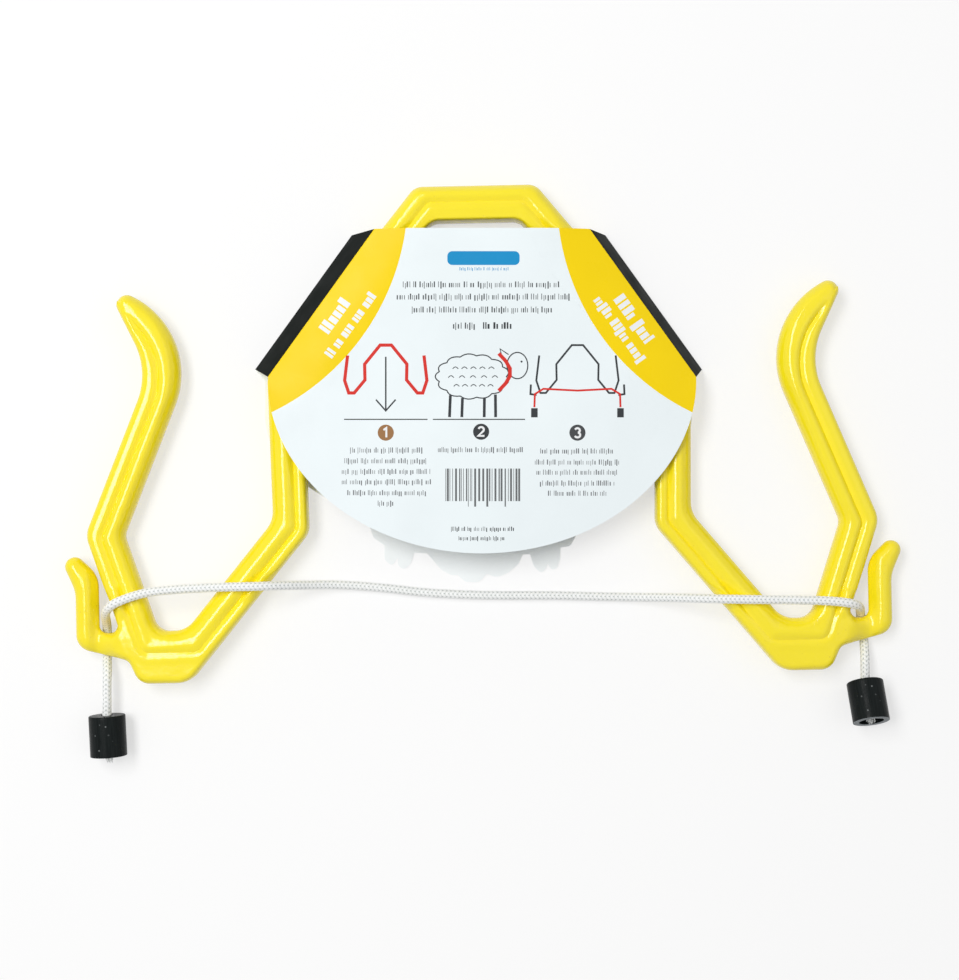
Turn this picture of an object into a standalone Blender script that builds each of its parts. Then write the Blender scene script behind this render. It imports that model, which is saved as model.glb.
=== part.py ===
"""A sheep restrainer: a yellow moulded frame, its cord with a cup stopper at each end, and a folded card sleeve.

It lies flat on its back. Z is up, +Y points to the arch that goes over the nape, and X = 0 is the frame's middle.
All sizes are in metres.
"""

import math

import bmesh
import bpy
import numpy as np
from mathutils import Matrix, Vector
from mathutils.geometry import delaunay_2d_cdt

# Running or resting gap between two pieces that touch
GAP = 0.0003

# The frame's band: one moulding of constant width, with a groove between two beads on each face
FRAME_LENGTH = 0.265
BAND_WIDTH = 0.0194
FRAME_THICKNESS = 0.018
EDGE_ROUND = 0.0054
GROOVE_DEPTH = 0.0026
GROOVE_HALF_WIDTH = 0.0043
GROOVE_SHIFT = 0.001

# Corners of the band's centreline, from the arch to the elbow of the arm
SHOULDER_X = 0.028
KNEE = (0.1045, 0.0285)
HIP = (0.103, -0.0494)
POCKET_DEPTH = 0.0645
POCKET_LEG_X = 0.1564
POCKET_ARM_X = 0.1831
ELBOW = (0.2036, -0.052)

# Fillet radii at those corners, for the outer contour and for the inner one
SHOULDER_RADII = (0.009, 0.008)
KNEE_RADII = (0.012, 0.012)
HIP_RADII = (0.015, 0.012)
POCKET_LEG_RADIUS = 0.014
POCKET_ARM_RADIUS = 0.0085
ELBOW_RADII = (0.008, 0.0136)
GROOVE_RADIUS = 0.006

# The arm above the elbow, and its narrow round tip
ARM_LEAN = 22.3
TIP = (0.189, 0.0719)
TIP_RADIUS = 0.0056
TIP_POCKET_SLOPE = 28.0
TIP_OUTER_SLOPE = 64.8
WRIST_RADII = (0.0465, 0.038)
GROOVE_END = (0.1905, 0.0635)
GROOVE_WRIST_RADIUS = 0.04

# The thick pad below each leg pocket
PAD_LEG_RADIUS = 0.0145
PAD_HEEL_X = 0.1863
PAD_HEEL_RADIUS = 0.009
PAD_TOE = (0.1919, -0.12)
PAD_TOE_RADIUS = 0.005

# The cord hook outside each pad, and the slot between it and the arm
SLOT_THROAT = 0.0026
SLOT_THROAT_Y = -0.078
SLOT_FLOOR_Y = -0.1047
SLOT_FLOOR_RADIUS = 0.0041
HOOK_WIDTH = 0.0126
HOOK_TIP_OFFSET = 0.0127
HOOK_TIP_Y = -0.0686
HOOK_TIP_RADIUS = 0.0052
HOOK_INNER_SLOPE = 44.0
HOOK_OUTER_SLOPE = 66.5
HOOK_RADII = (0.015, 0.02)
HOOK_HEEL_DROP = 0.0079
HOOK_HEEL_RADIUS = 0.009
HOOK_ROUND = 0.0062
HOOK_THICKNESS = 0.0118
WEB_THICKNESS = 0.0064
WEB_BLEND = 0.003
HOOK_SWELL = 0.006

# The folded card sleeve, in its own axes: its middle is where the sides are widest
CARD_THICKNESS = 0.0005
CARD_MIDDLE = (0.0016, 0.0287)
CARD_TURN = -1.2
CARD_HALF_WIDTH = 0.1145
CARD_TOP_HALF_WIDTH = 0.0575
CARD_RISE = 0.0792
CARD_DROP = 0.0942
SPINE_LEAN = 0.0097
SPINE_TOP_CUT = 0.0078
BACK_SHIFT = -0.002
BACK_SIDE_X = 0.1165
BACK_SIDE_TOP = -0.001
BACK_SIDE_DROP = 0.020
BACK_DROP = 0.084
# The corners of the back panel's scalloped edge, from left to right, each with its rounding radius
BACK_SCALLOPS = (
    (-0.0615, -0.0744, 0.0),
    (-0.0572, -0.0866, 0.004),
    (-0.0512, -0.0907, 0.0008),
    (-0.0512, -0.0985, 0.004),
    (-0.0470, -0.1023, 0.002),
    (-0.0438, -0.0968, 0.0003),
    (-0.0440, -0.1012, 0.0022),
    (-0.0408, -0.1042, 0.0022),
    (-0.0370, -0.1008, 0.0035),
    (-0.0350, -0.0946, 0.0006),
    (-0.0279, -0.0951, 0.0012),
    (-0.0200, -0.1042, 0.007),
    (-0.0150, -0.1068, 0.005),
    (-0.0112, -0.1069, 0.001),
    (-0.0072, -0.1106, 0.0035),
    (0.0006, -0.1108, 0.0045),
    (0.0046, -0.1062, 0.0008),
    (0.0100, -0.1082, 0.007),
    (0.0165, -0.1056, 0.008),
    (0.0218, -0.1010, 0.008),
    (0.0243, -0.0957, 0.001),
    (0.0284, -0.0955, 0.0008),
    (0.0302, -0.1020, 0.006),
    (0.0346, -0.1064, 0.0022),
    (0.0374, -0.1025, 0.0012),
    (0.0376, -0.1002, 0.0003),
    (0.0400, -0.1040, 0.0018),
    (0.0430, -0.1032, 0.0022),
    (0.0446, -0.0980, 0.004),
    (0.0449, -0.0918, 0.0006),
    (0.0500, -0.0912, 0.003),
    (0.0526, -0.0868, 0.004),
    (0.0580, -0.0755, 0.0),
)
BACK_SCALLOP_STEP = 18.0
BACK_FLANK_GAP = 0.0014

# The braided cord and what is on it
CORD_DIAMETER = 0.0049
CORD_BORE_CLEARANCE = 0.0006
CORD_END_IN_BORE = 0.0009
STOPPER_RADIUS = 0.01
STOPPER_LENGTH = 0.022
STOPPER_WALL = 0.0033
STOPPER_FLOOR = 0.003
KNOT_RADIUS = 0.0051
KNOT_LENGTH = 0.0105
LEFT_FRAY_LENGTH = 0.0126
RIGHT_FRAY_LENGTH = 0.0098
FRAY_RADIUS = 0.0021

FRAME_BOTTOM = CARD_THICKNESS + GAP
FRAME_MIDDLE = FRAME_BOTTOM + FRAME_THICKNESS / 2
FRAME_TOP = FRAME_BOTTOM + FRAME_THICKNESS
CARD_TOP = FRAME_TOP + GAP + CARD_THICKNESS

# Where each stopper's closed end lies, the way it points, away from the frame, and the cord's way through it
STOPPER_REST_Z = STOPPER_RADIUS + 0.0001
LEFT_STOPPER_END = (-0.2049, -0.1491, STOPPER_REST_Z)
LEFT_STOPPER_AIM = (0.029, -1.0, 0.0)
LEFT_CORD_AIM = (-0.021, -1.0, 0.0)
RIGHT_STOPPER_END = (0.2048, -0.1396, 0.0105)
RIGHT_STOPPER_AIM = (0.063, -0.93, 0.365)
RIGHT_CORD_AIM = (-0.048, -0.984, 0.17)


def unit(angle):
    """The direction at this many degrees from +X."""
    return (math.cos(math.radians(angle)), math.sin(math.radians(angle)))


def toward(start, end):
    """The direction from one point to another."""
    length = math.dist(start, end)
    return ((end[0] - start[0]) / length, (end[1] - start[1]) / length)


def beside(point, direction, distance):
    """The point this far to the left of a direction."""
    return (point[0] - direction[1] * distance, point[1] + direction[0] * distance)


def meet(point, direction, other, other_direction):
    """Where two lines cross."""
    cross = direction[0] * other_direction[1] - direction[1] * other_direction[0]
    dx, dy = other[0] - point[0], other[1] - point[1]
    along = (dx * other_direction[1] - dy * other_direction[0]) / cross
    return (point[0] + direction[0] * along, point[1] + direction[1] * along)


def offset_corners(corners, distance):
    """The inner corners of a chain of lines, moved sideways by a distance to its left."""
    moved = []
    for before, corner, after in zip(corners, corners[1:], corners[2:]):
        into, out = toward(before, corner), toward(corner, after)
        moved.append(meet(beside(before, into, distance), into, beside(after, out, distance), out))
    return moved


def fillet(before, corner, after, radius, step):
    """The arc that rounds a corner, as points about step degrees apart."""
    into, out = toward(before, corner), toward(corner, after)
    turn = math.atan2(into[0] * out[1] - into[1] * out[0], into[0] * out[0] + into[1] * out[1])
    reach = radius * math.tan(abs(turn) / 2)
    side = math.copysign(1.0, turn)
    start = (corner[0] - into[0] * reach, corner[1] - into[1] * reach)
    centre = beside(start, into, side * radius)
    first = math.atan2(start[1] - centre[1], start[0] - centre[0])
    count = max(2, round(abs(math.degrees(turn)) / step))
    angles = [first + turn * k / count for k in range(count + 1)]
    return [(centre[0] + radius * math.cos(a), centre[1] + radius * math.sin(a)) for a in angles]


def rounded(chain, step, closed):
    """The points along a chain of (x, y, radius) corners, with each corner rounded."""
    points = []
    count = len(chain)
    for k, (x, y, radius) in enumerate(chain):
        if not radius or (not closed and k in (0, count - 1)):
            points.append((x, y))
            continue
        before, after = chain[k - 1][:2], chain[(k + 1) % count][:2]
        points += fillet(before, (x, y), after, radius, step)
    return points


def arc(centre, radius, start, end, step):
    """The corners of a round end, which need no more rounding."""
    count = max(2, round(abs(end - start) / step))
    angles = [start + (end - start) * k / count for k in range(count + 1)]
    return [(centre[0] + radius * unit(a)[0], centre[1] + radius * unit(a)[1], 0.0) for a in angles]


def mirrored(half):
    """A half contour, joined to its mirror image across X = 0."""
    return half + [(-x, *rest) for x, *rest in reversed(half)]


# The band's centreline corners on the right half, from the arch's middle to the arm
HALF_BAND = BAND_WIDTH / 2
ARCH_Y = FRAME_LENGTH / 2 - HALF_BAND
PAD_Y = -FRAME_LENGTH / 2
POCKET_Y = HIP[1] - POCKET_DEPTH
ARM_UP = unit(90 + ARM_LEAN)
ARM_FAR = (ELBOW[0] + ARM_UP[0] * 0.1, ELBOW[1] + ARM_UP[1] * 0.1)
CENTRELINE = [
    (0.0, ARCH_Y),
    (SHOULDER_X, ARCH_Y),
    KNEE,
    HIP,
    (POCKET_LEG_X, POCKET_Y),
    (POCKET_ARM_X, POCKET_Y),
    ELBOW,
    ARM_FAR,
]
OUTER_CORNERS = offset_corners(CENTRELINE, HALF_BAND)
INNER_CORNERS = offset_corners(CENTRELINE, -HALF_BAND)
LOWER_ARM = toward(CENTRELINE[5], ELBOW)
LOWER_ARM_EDGE = beside(ELBOW, LOWER_ARM, -HALF_BAND)


def edge_of_lower_arm(y):
    """Where the lower arm's outer edge, drawn on, has this height."""
    return meet(LOWER_ARM_EDGE, LOWER_ARM, (0.0, y), (1.0, 0.0))


HOOK_WALL_X = edge_of_lower_arm(SLOT_THROAT_Y)[0] + SLOT_THROAT


def arm_tip(step):
    """The contour of the arm above the elbow, up one edge, round the tip and down the other."""
    pocket_side, outer_side = unit(TIP_POCKET_SLOPE), unit(TIP_OUTER_SLOPE)
    pocket_wrist = meet(OUTER_CORNERS[5], ARM_UP, beside(TIP, pocket_side, TIP_RADIUS), pocket_side)
    outer_wrist = meet(INNER_CORNERS[5], ARM_UP, beside(TIP, outer_side, -TIP_RADIUS), outer_side)
    return [
        (*pocket_wrist, WRIST_RADII[0]),
        *arc(TIP, TIP_RADIUS, TIP_POCKET_SLOPE + 90, TIP_OUTER_SLOPE - 90, step),
        (*outer_wrist, WRIST_RADII[1]),
    ]


def hook(step):
    """The contour from the slot, round the cord hook, to the toe of the pad."""
    outer_x = HOOK_WALL_X + HOOK_WIDTH
    tip = (HOOK_WALL_X + HOOK_TIP_OFFSET, HOOK_TIP_Y)
    inner_side, outer_side = unit(HOOK_INNER_SLOPE), unit(HOOK_OUTER_SLOPE)
    inner_bend = meet((HOOK_WALL_X, 0.0), (0.0, 1.0), beside(tip, inner_side, HOOK_TIP_RADIUS), inner_side)
    outer_bend = meet((outer_x, 0.0), (0.0, 1.0), beside(tip, outer_side, -HOOK_TIP_RADIUS), outer_side)
    return [
        (*edge_of_lower_arm(SLOT_FLOOR_Y), SLOT_FLOOR_RADIUS),
        (HOOK_WALL_X, SLOT_FLOOR_Y, SLOT_FLOOR_RADIUS),
        (*inner_bend, HOOK_RADII[0]),
        *arc(tip, HOOK_TIP_RADIUS, HOOK_INNER_SLOPE + 90, HOOK_OUTER_SLOPE - 90, step),
        (*outer_bend, HOOK_RADII[1]),
        (outer_x, SLOT_FLOOR_Y - HOOK_HEEL_DROP, HOOK_HEEL_RADIUS),
        (*PAD_TOE, PAD_TOE_RADIUS),
    ]


def contour(step, with_hook):
    """The frame's outline, clockwise from the right shoulder."""
    pad_leg = meet(INNER_CORNERS[2], toward(CENTRELINE[3], CENTRELINE[4]), (0.0, PAD_Y), (1.0, 0.0))
    radii = (SHOULDER_RADII, KNEE_RADII, HIP_RADII)
    half = [(*OUTER_CORNERS[k], radii[k][0]) for k in range(3)]
    half += [
        (*OUTER_CORNERS[3], POCKET_LEG_RADIUS),
        (*OUTER_CORNERS[4], POCKET_ARM_RADIUS),
        (*OUTER_CORNERS[5], ELBOW_RADII[0]),
        *arm_tip(step),
        (*INNER_CORNERS[5], ELBOW_RADII[1]),
    ]
    if with_hook:
        half += hook(step)
    half += [(PAD_HEEL_X, PAD_Y, PAD_HEEL_RADIUS), (*pad_leg, PAD_LEG_RADIUS)]
    half += [(*INNER_CORNERS[k], radii[k][1]) for k in (2, 1, 0)]
    return rounded(mirrored(half), step, closed=True)


def groove_line(step):
    """The bottom of the groove between the two beads, from one arm to the other."""
    path = [(-SHOULDER_X, ARCH_Y), *CENTRELINE[1:]]
    corners = offset_corners(path, -GROOVE_SHIFT)
    wrist = meet(corners[-1], ARM_UP, GROOVE_END, unit(TIP_OUTER_SLOPE - 12))
    half = [(*corner, GROOVE_RADIUS) for corner in corners]
    half += [(*wrist, GROOVE_WRIST_RADIUS), (*GROOVE_END, 0.0)]
    left = [(-x, *rest) for x, *rest in reversed(half)]
    return rounded(left + half, step, closed=False)


def spread(points, spacing, closed):
    """A polyline with more points, no two further apart than the spacing."""
    ends = points[1:] + points[:1] if closed else points[1:]
    filled = []
    for start, end in zip(points, ends):
        count = max(1, math.ceil(math.dist(start, end) / spacing))
        filled += [
            (start[0] + (end[0] - start[0]) * k / count, start[1] + (end[1] - start[1]) * k / count)
            for k in range(count)
        ]
    return filled if closed else filled + [points[-1]]


def distance_to(line, points, closed):
    """How far each point is from a polyline."""
    start = np.array(line)
    end = np.roll(start, -1, axis=0) if closed else start[1:]
    start = start if closed else start[:-1]
    along = end - start
    length_squared = np.maximum((along**2).sum(axis=1), 1e-18)
    from_start = points[:, None, :] - start[None]
    share = np.clip((from_start * along).sum(axis=2) / length_squared, 0.0, 1.0)
    return np.linalg.norm(from_start - share[..., None] * along, axis=2).min(axis=1)


def inside(line, points):
    """Which points lie inside a closed polyline."""
    start = np.array(line)
    end = np.roll(start, -1, axis=0)
    x, y = points[:, 0, None], points[:, 1, None]
    spans = (start[:, 1] > y) != (end[:, 1] > y)
    rise = np.where(end[:, 1] == start[:, 1], 1.0, end[:, 1] - start[:, 1])
    crossing = start[:, 0] + (y - start[:, 1]) * (end[:, 0] - start[:, 0]) / rise
    return (spans & (x < crossing)).sum(axis=1) % 2 == 1


def round_over(depth, radius):
    """The height, from 0 to 1, of a rounded edge at this depth inside it."""
    inward = np.clip(depth / radius, 0.0, 1.0)
    return np.sqrt(1.0 - (1.0 - inward) ** 2)


def half_height(points, outline, body, groove):
    """Half of the frame's thickness at each point: the beaded band and pad, blended into the thinner hook."""
    edge = distance_to(outline, points, closed=True)
    body_edge = distance_to(body, points, closed=True)
    body_edge = np.where(inside(body, points), body_edge, 0.0)
    from_groove = distance_to(groove, points, closed=False)
    dip = GROOVE_DEPTH * np.clip(1.0 - from_groove / GROOVE_HALF_WIDTH, 0.0, 1.0) ** 2
    band = (FRAME_THICKNESS / 2 - dip) * round_over(body_edge, EDGE_ROUND)
    lobe = np.clip((np.abs(points[:, 0]) - HOOK_WALL_X) / HOOK_SWELL, 0.0, 1.0)
    lobe = lobe * lobe * (3.0 - 2.0 * lobe)
    hook_half = WEB_THICKNESS / 2 + lobe * (HOOK_THICKNESS - WEB_THICKNESS) / 2
    web = hook_half * round_over(edge, HOOK_ROUND)
    blend = np.maximum(WEB_BLEND * np.clip(edge / EDGE_ROUND, 0.0, 1.0), 1e-9)
    overlap = np.maximum(blend - np.abs(band - web), 0.0)
    return np.maximum(band, web) + overlap**2 / (4.0 * blend)


def row_inside(outline, depth):
    """Points that follow a closed clockwise outline at a depth inside it, and which of them are clear of it."""
    start = np.array(outline)
    chord = np.roll(start, -1, axis=0) - np.roll(start, 1, axis=0)
    normal = np.column_stack([chord[:, 1], -chord[:, 0]])
    normal /= np.linalg.norm(normal, axis=1)[:, None]
    row = start + normal * depth
    return row, distance_to(outline, row, closed=True) > depth * 0.97


def row_beside(line, side):
    """Points that follow an open line at a distance on one side of it, and which of them are clear of it."""
    start = np.array(line)
    chord = np.gradient(start, axis=0)
    normal = np.column_stack([-chord[:, 1], chord[:, 0]])
    normal /= np.linalg.norm(normal, axis=1)[:, None]
    row = start + normal * side
    return row, distance_to(line, row, closed=False) > abs(side) * 0.97


def lattice(low, high, spacing):
    """A triangular lattice of points that fills a box, and its mirror image."""
    points = []
    rows = int((high[1] - low[1]) / (spacing * math.sqrt(0.75)))
    for j in range(rows + 1):
        y = low[1] + j * spacing * math.sqrt(0.75)
        for k in range(int((high[0] - low[0]) / spacing) + 1):
            x = low[0] + (k + 0.5 * (j % 2)) * spacing
            points += [(x, y), (-x, y)]
    return points


def frame_mesh():
    """The frame's mesh: its flat outline cut into triangles, then raised and lowered by half its thickness."""
    corner_step, run, groove_run = 18.0, 0.016, 0.010
    outline = spread(contour(corner_step, with_hook=True), run, closed=True)
    body = contour(corner_step, with_hook=False)
    groove = spread(groove_line(corner_step), groove_run, closed=False)
    points = list(outline)
    edges = [(k, (k + 1) % len(outline)) for k in range(len(outline))]

    def add_row(row, keep):
        last = None
        for point, ok in zip(row, keep):
            if not ok:
                last = None
                continue
            points.append(tuple(point))
            if last is not None:
                edges.append((last, len(points) - 1))
            last = len(points) - 1

    for depth in (EDGE_ROUND * 0.05, EDGE_ROUND * 0.28):
        row, clear = row_inside(outline, depth)
        add_row(row, clear & (distance_to(groove, row, closed=False) > GROOVE_HALF_WIDTH * 0.3))
    add_row(np.array(groove), inside(outline, np.array(groove)))
    for width in (GROOVE_HALF_WIDTH * 0.35, GROOVE_HALF_WIDTH):
        for side in (-width, width):
            row, clear = row_beside(groove, side)
            clear &= inside(outline, row) & (distance_to(outline, row, closed=True) > EDGE_ROUND * 0.45)
            add_row(row, clear)
    fill = np.array(lattice((0.146, PAD_Y), (0.228, HOOK_TIP_Y + HOOK_TIP_RADIUS), 0.0036))
    taken = np.array(points)
    nearest = np.array([np.min(np.linalg.norm(taken - p, axis=1)) for p in fill])
    keep = inside(outline, fill) & (distance_to(outline, fill, closed=True) > EDGE_ROUND * 0.45)
    keep &= distance_to(groove, fill, closed=False) > GROOVE_HALF_WIDTH * 1.2
    keep &= nearest > 0.0017
    points += [tuple(p) for p in fill[keep]]

    flat = [Vector(p) for p in points]
    placed, _, faces, _, _, _ = delaunay_2d_cdt(flat, edges, [], 1, 1e-7)
    plan = np.array([tuple(p) for p in placed])
    height = half_height(plan, outline, body, groove)
    on_edge = distance_to(outline, plan, closed=True) < 1e-6
    mesh = bpy.data.meshes.new("frame")
    build = bmesh.new()
    front, back = [], []
    for (x, y), rise, border in zip(plan, height, on_edge):
        rise = 0.0 if border else rise
        front.append(build.verts.new((x, y, FRAME_MIDDLE + rise)))
        back.append(front[-1] if border else build.verts.new((x, y, FRAME_MIDDLE - rise)))
    for face in faces:
        upper = [front[k] for k in face]
        lower = [back[k] for k in reversed(face)]
        if set(upper) == set(lower):
            continue
        build.faces.new(upper)
        build.faces.new(lower)
    bmesh.ops.recalc_face_normals(build, faces=build.faces[:])
    build.to_mesh(mesh)
    build.free()
    return mesh


def material(name, colour, roughness, metallic=0.0):
    """A plain material of one colour."""
    made = bpy.data.materials.new(name)
    made.use_nodes = True
    shader = made.node_tree.nodes["Principled BSDF"]
    shader.inputs["Base Color"].default_value = (*colour, 1.0)
    shader.inputs["Roughness"].default_value = roughness
    shader.inputs["Metallic"].default_value = metallic
    return made


def place(name, data, look, smooth_angle=None):
    """An object of this name in the scene, with its material."""
    made = bpy.data.objects.new(name, data)
    data.materials.append(look)
    bpy.context.scene.collection.objects.link(made)
    if smooth_angle is not None:
        data.shade_smooth()
        data.set_sharp_from_angle(angle=math.radians(smooth_angle))
    return made


def make_frame():
    """The yellow moulding."""
    place("frame", frame_mesh(), material("yellow_plastic", (0.93, 0.71, 0.02), 0.3), 50)


def card_point(x, y, z):
    """A point of the card, given in the card's own axes."""
    turned = Matrix.Rotation(math.radians(CARD_TURN), 2) @ Vector((x, y))
    return (CARD_MIDDLE[0] + turned.x, CARD_MIDDLE[1] + turned.y, z)


def back_flank(x):
    """The point of the back panel's lower edge at x, beside its scallops."""
    bow = math.sqrt(max(0.0, 1.0 - (x / BACK_SIDE_X) ** 2))
    return (x, -BACK_SIDE_DROP - (BACK_DROP - BACK_SIDE_DROP) * bow)


def card_outlines(front_steps, back_steps):
    """The front panel's outline and the back panel's, each clockwise from its fold's top right end."""
    front = [(CARD_TOP_HALF_WIDTH, CARD_RISE), (CARD_HALF_WIDTH, 0.0)]
    for k in range(1, front_steps):
        turn = math.pi * k / front_steps
        front.append((CARD_HALF_WIDTH * math.cos(turn), -CARD_DROP * math.sin(turn)))
    front += [(-x, y) for x, y in reversed(front[:2])]

    slope = toward(*front[:2])
    top = beside(front[0], slope, SPINE_LEAN)
    top = (top[0] + slope[0] * SPINE_TOP_CUT, top[1] + slope[1] * SPINE_TOP_CUT)
    corner = beside(front[1], slope, SPINE_LEAN)
    back = [top, corner, (BACK_SIDE_X, BACK_SIDE_TOP)]
    flank = [BACK_SIDE_X * math.cos(math.pi * k / back_steps) for k in range(back_steps + 1)]
    scallops = rounded(BACK_SCALLOPS[::-1], BACK_SCALLOP_STEP, closed=False)
    back += [back_flank(x) for x in flank if x > scallops[0][0] + BACK_FLANK_GAP]
    back += scallops
    back += [back_flank(x) for x in flank if x < scallops[-1][0] - BACK_FLANK_GAP]
    back += [(-x, y) for x, y in reversed(back[:3])]
    return front, [(x + BACK_SHIFT, y) for x, y in back]


def make_card():
    """The sleeve: a front panel, two leaning spines and a back panel, folded from one card."""
    front, back = card_outlines(28, 44)
    mesh = bpy.data.meshes.new("card_sleeve")
    build = bmesh.new()
    upper = [build.verts.new(card_point(x, y, CARD_TOP)) for x, y in front]
    lower = [build.verts.new(card_point(x, y, 0.0)) for x, y in back]
    build.faces.new(list(reversed(upper)))
    build.faces.new(lower)
    build.faces.new([upper[0], upper[1], lower[1], lower[0]])
    build.faces.new([upper[-2], upper[-1], lower[-1], lower[-2]])
    bmesh.ops.triangulate(build, faces=build.faces[:])
    build.to_mesh(mesh)
    build.free()
    made = place("card_sleeve", mesh, material("printed_card", (0.86, 0.92, 0.94), 0.35))
    wall = made.modifiers.new("card thickness", "SOLIDIFY")
    wall.thickness = CARD_THICKNESS
    wall.offset = -1.0


def turned(name, profile, look, segments, end, aim):
    """A piece turned from a closed profile of (radius, distance along) points, on an axis from a point."""
    mesh = bpy.data.meshes.new(name)
    build = bmesh.new()
    rings = []
    for radius, along in profile:
        if radius == 0.0:
            rings.append([build.verts.new((0.0, 0.0, along))])
            continue
        angles = [2 * math.pi * k / segments for k in range(segments)]
        rings.append([build.verts.new((radius * math.cos(a), radius * math.sin(a), along)) for a in angles])
    closed = rings[0] != rings[-1] and len(rings[0]) > 1
    pairs = list(zip(rings, rings[1:] + (rings[:1] if closed else [])))
    for ring, following in pairs if closed else pairs[: len(rings) - 1]:
        for k in range(segments):
            nearby = (k + 1) % segments
            if len(ring) == 1:
                build.faces.new([ring[0], following[nearby], following[k]])
            elif len(following) == 1:
                build.faces.new([ring[k], ring[nearby], following[0]])
            else:
                build.faces.new([ring[k], ring[nearby], following[nearby], following[k]])
    bmesh.ops.recalc_face_normals(build, faces=build.faces[:])
    build.to_mesh(mesh)
    build.free()
    made = place(name, mesh, look, 40)
    made.rotation_mode = "QUATERNION"
    made.location = end
    made.rotation_quaternion = Vector(aim).to_track_quat("Z", "Y")
    return made


def make_stopper(name, end, aim, look):
    """A short black cup: a holed floor towards the frame, and an open mouth away from it."""
    bore = CORD_DIAMETER / 2 + CORD_BORE_CLEARANCE
    inner = STOPPER_RADIUS - STOPPER_WALL
    bevel = 0.0004
    profile = [
        (bore, 0.0),
        (STOPPER_RADIUS - bevel, 0.0),
        (STOPPER_RADIUS, bevel),
        (STOPPER_RADIUS, STOPPER_LENGTH - bevel),
        (STOPPER_RADIUS - bevel, STOPPER_LENGTH),
        (inner + bevel, STOPPER_LENGTH),
        (inner, STOPPER_LENGTH - bevel),
        (inner, STOPPER_FLOOR),
        (bore, STOPPER_FLOOR),
    ]
    turned(name, profile, look, 28, end, aim)


def make_knot(name, end, aim, fray, look):
    """The knot that holds a stopper, with the cord's frayed end beyond it."""
    seat = STOPPER_FLOOR + GAP
    swell = ((0.0, 0.5), (0.16, 0.86), (0.36, 1.0), (0.62, 0.97), (0.84, 0.72))
    profile = [(0.0, seat)]
    profile += [(KNOT_RADIUS * wide, seat + KNOT_LENGTH * along) for along, wide in swell]
    profile += [
        (FRAY_RADIUS, seat + KNOT_LENGTH),
        (FRAY_RADIUS * 1.2, seat + KNOT_LENGTH + fray * 0.8),
        (FRAY_RADIUS * 0.7, seat + KNOT_LENGTH + fray),
        (0.0, seat + KNOT_LENGTH + fray),
    ]
    turned(name, profile, look, 16, end, aim)


# The cord's route, from the left knot over the front of the frame to the right knot
CORD_ROUTE = [
    (-0.2047, -0.1420, 0.0101),
    (-0.2046, -0.1360, 0.0101),
    (-0.2045, -0.1310, 0.0100),
    (-0.2045, -0.1270, 0.0091),
    (-0.2048, -0.1232, 0.0072),
    (-0.2052, -0.1195, 0.0051),
    (-0.2055, -0.1155, 0.0035),
    (-0.2055, -0.1108, 0.0029),
    (-0.2053, -0.1060, 0.0030),
    (-0.2050, -0.1020, 0.0046),
    (-0.2046, -0.0987, 0.0078),
    (-0.2041, -0.0961, 0.0119),
    (-0.2031, -0.0937, 0.0158),
    (-0.2011, -0.0911, 0.0192),
    (-0.1979, -0.0887, 0.0213),
    (-0.1935, -0.0867, 0.0219),
    (-0.1860, -0.0842, 0.0216),
    (-0.1780, -0.0825, 0.0212),
    (-0.1660, -0.0815, 0.0208),
    (-0.1540, -0.0810, 0.0211),
    (-0.1430, -0.0807, 0.0216),
    (-0.1340, -0.0806, 0.0218),
    (-0.1240, -0.0806, 0.0217),
    (-0.1160, -0.0806, 0.0201),
    (-0.1060, -0.0808, 0.0154),
    (-0.0940, -0.0812, 0.0088),
    (-0.0820, -0.0816, 0.0044),
    (-0.0700, -0.0824, 0.0028),
    (-0.0520, -0.0843, 0.0026),
    (-0.0320, -0.0869, 0.0026),
    (-0.0020, -0.0890, 0.0026),
    (0.0400, -0.0901, 0.0026),
    (0.0650, -0.0912, 0.0026),
    (0.0800, -0.0917, 0.0033),
    (0.0930, -0.0919, 0.0068),
    (0.1050, -0.0920, 0.0128),
    (0.1160, -0.0922, 0.0184),
    (0.1250, -0.0925, 0.0210),
    (0.1340, -0.0928, 0.0218),
    (0.1450, -0.0932, 0.0217),
    (0.1620, -0.0938, 0.0210),
    (0.1780, -0.0944, 0.0212),
    (0.1868, -0.0950, 0.0218),
    (0.1925, -0.0957, 0.0216),
    (0.1969, -0.0966, 0.0204),
    (0.2001, -0.0978, 0.0179),
    (0.2022, -0.0993, 0.0139),
    (0.2035, -0.1012, 0.0093),
    (0.2045, -0.1045, 0.0056),
    (0.2055, -0.1086, 0.0035),
    (0.2061, -0.1130, 0.0029),
    (0.2063, -0.1168, 0.0037),
    (0.2061, -0.1206, 0.0055),
    (0.2058, -0.1246, 0.0076),
    (0.2055, -0.1291, 0.0090),
    (0.2053, -0.1335, 0.0098),
    (0.2050, -0.1380, 0.0105),
]


def smooth_curve(route, pieces):
    """Points on a smooth curve through the route's own points, this many to each of its stretches."""
    ends = [2 * Vector(route[0]) - Vector(route[1]), 2 * Vector(route[-1]) - Vector(route[-2])]
    points = [ends[0], *map(Vector, route), ends[1]]
    line = []
    for a, b, c, d in zip(points, points[1:], points[2:], points[3:]):
        knots = [0.0]
        for start, end in ((a, b), (b, c), (c, d)):
            knots.append(knots[-1] + math.sqrt((end - start).length))
        for k in range(pieces):
            t = knots[1] + (knots[2] - knots[1]) * k / pieces
            ab = a.lerp(b, (t - knots[0]) / (knots[1] - knots[0]))
            bc = b.lerp(c, (t - knots[1]) / (knots[2] - knots[1]))
            cd = c.lerp(d, (t - knots[2]) / (knots[3] - knots[2]))
            abc = ab.lerp(bc, (t - knots[0]) / (knots[2] - knots[0]))
            bcd = bc.lerp(cd, (t - knots[1]) / (knots[3] - knots[1]))
            line.append(abc.lerp(bcd, (t - knots[1]) / (knots[2] - knots[1])))
    return [*line, Vector(route[-1])]


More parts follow.
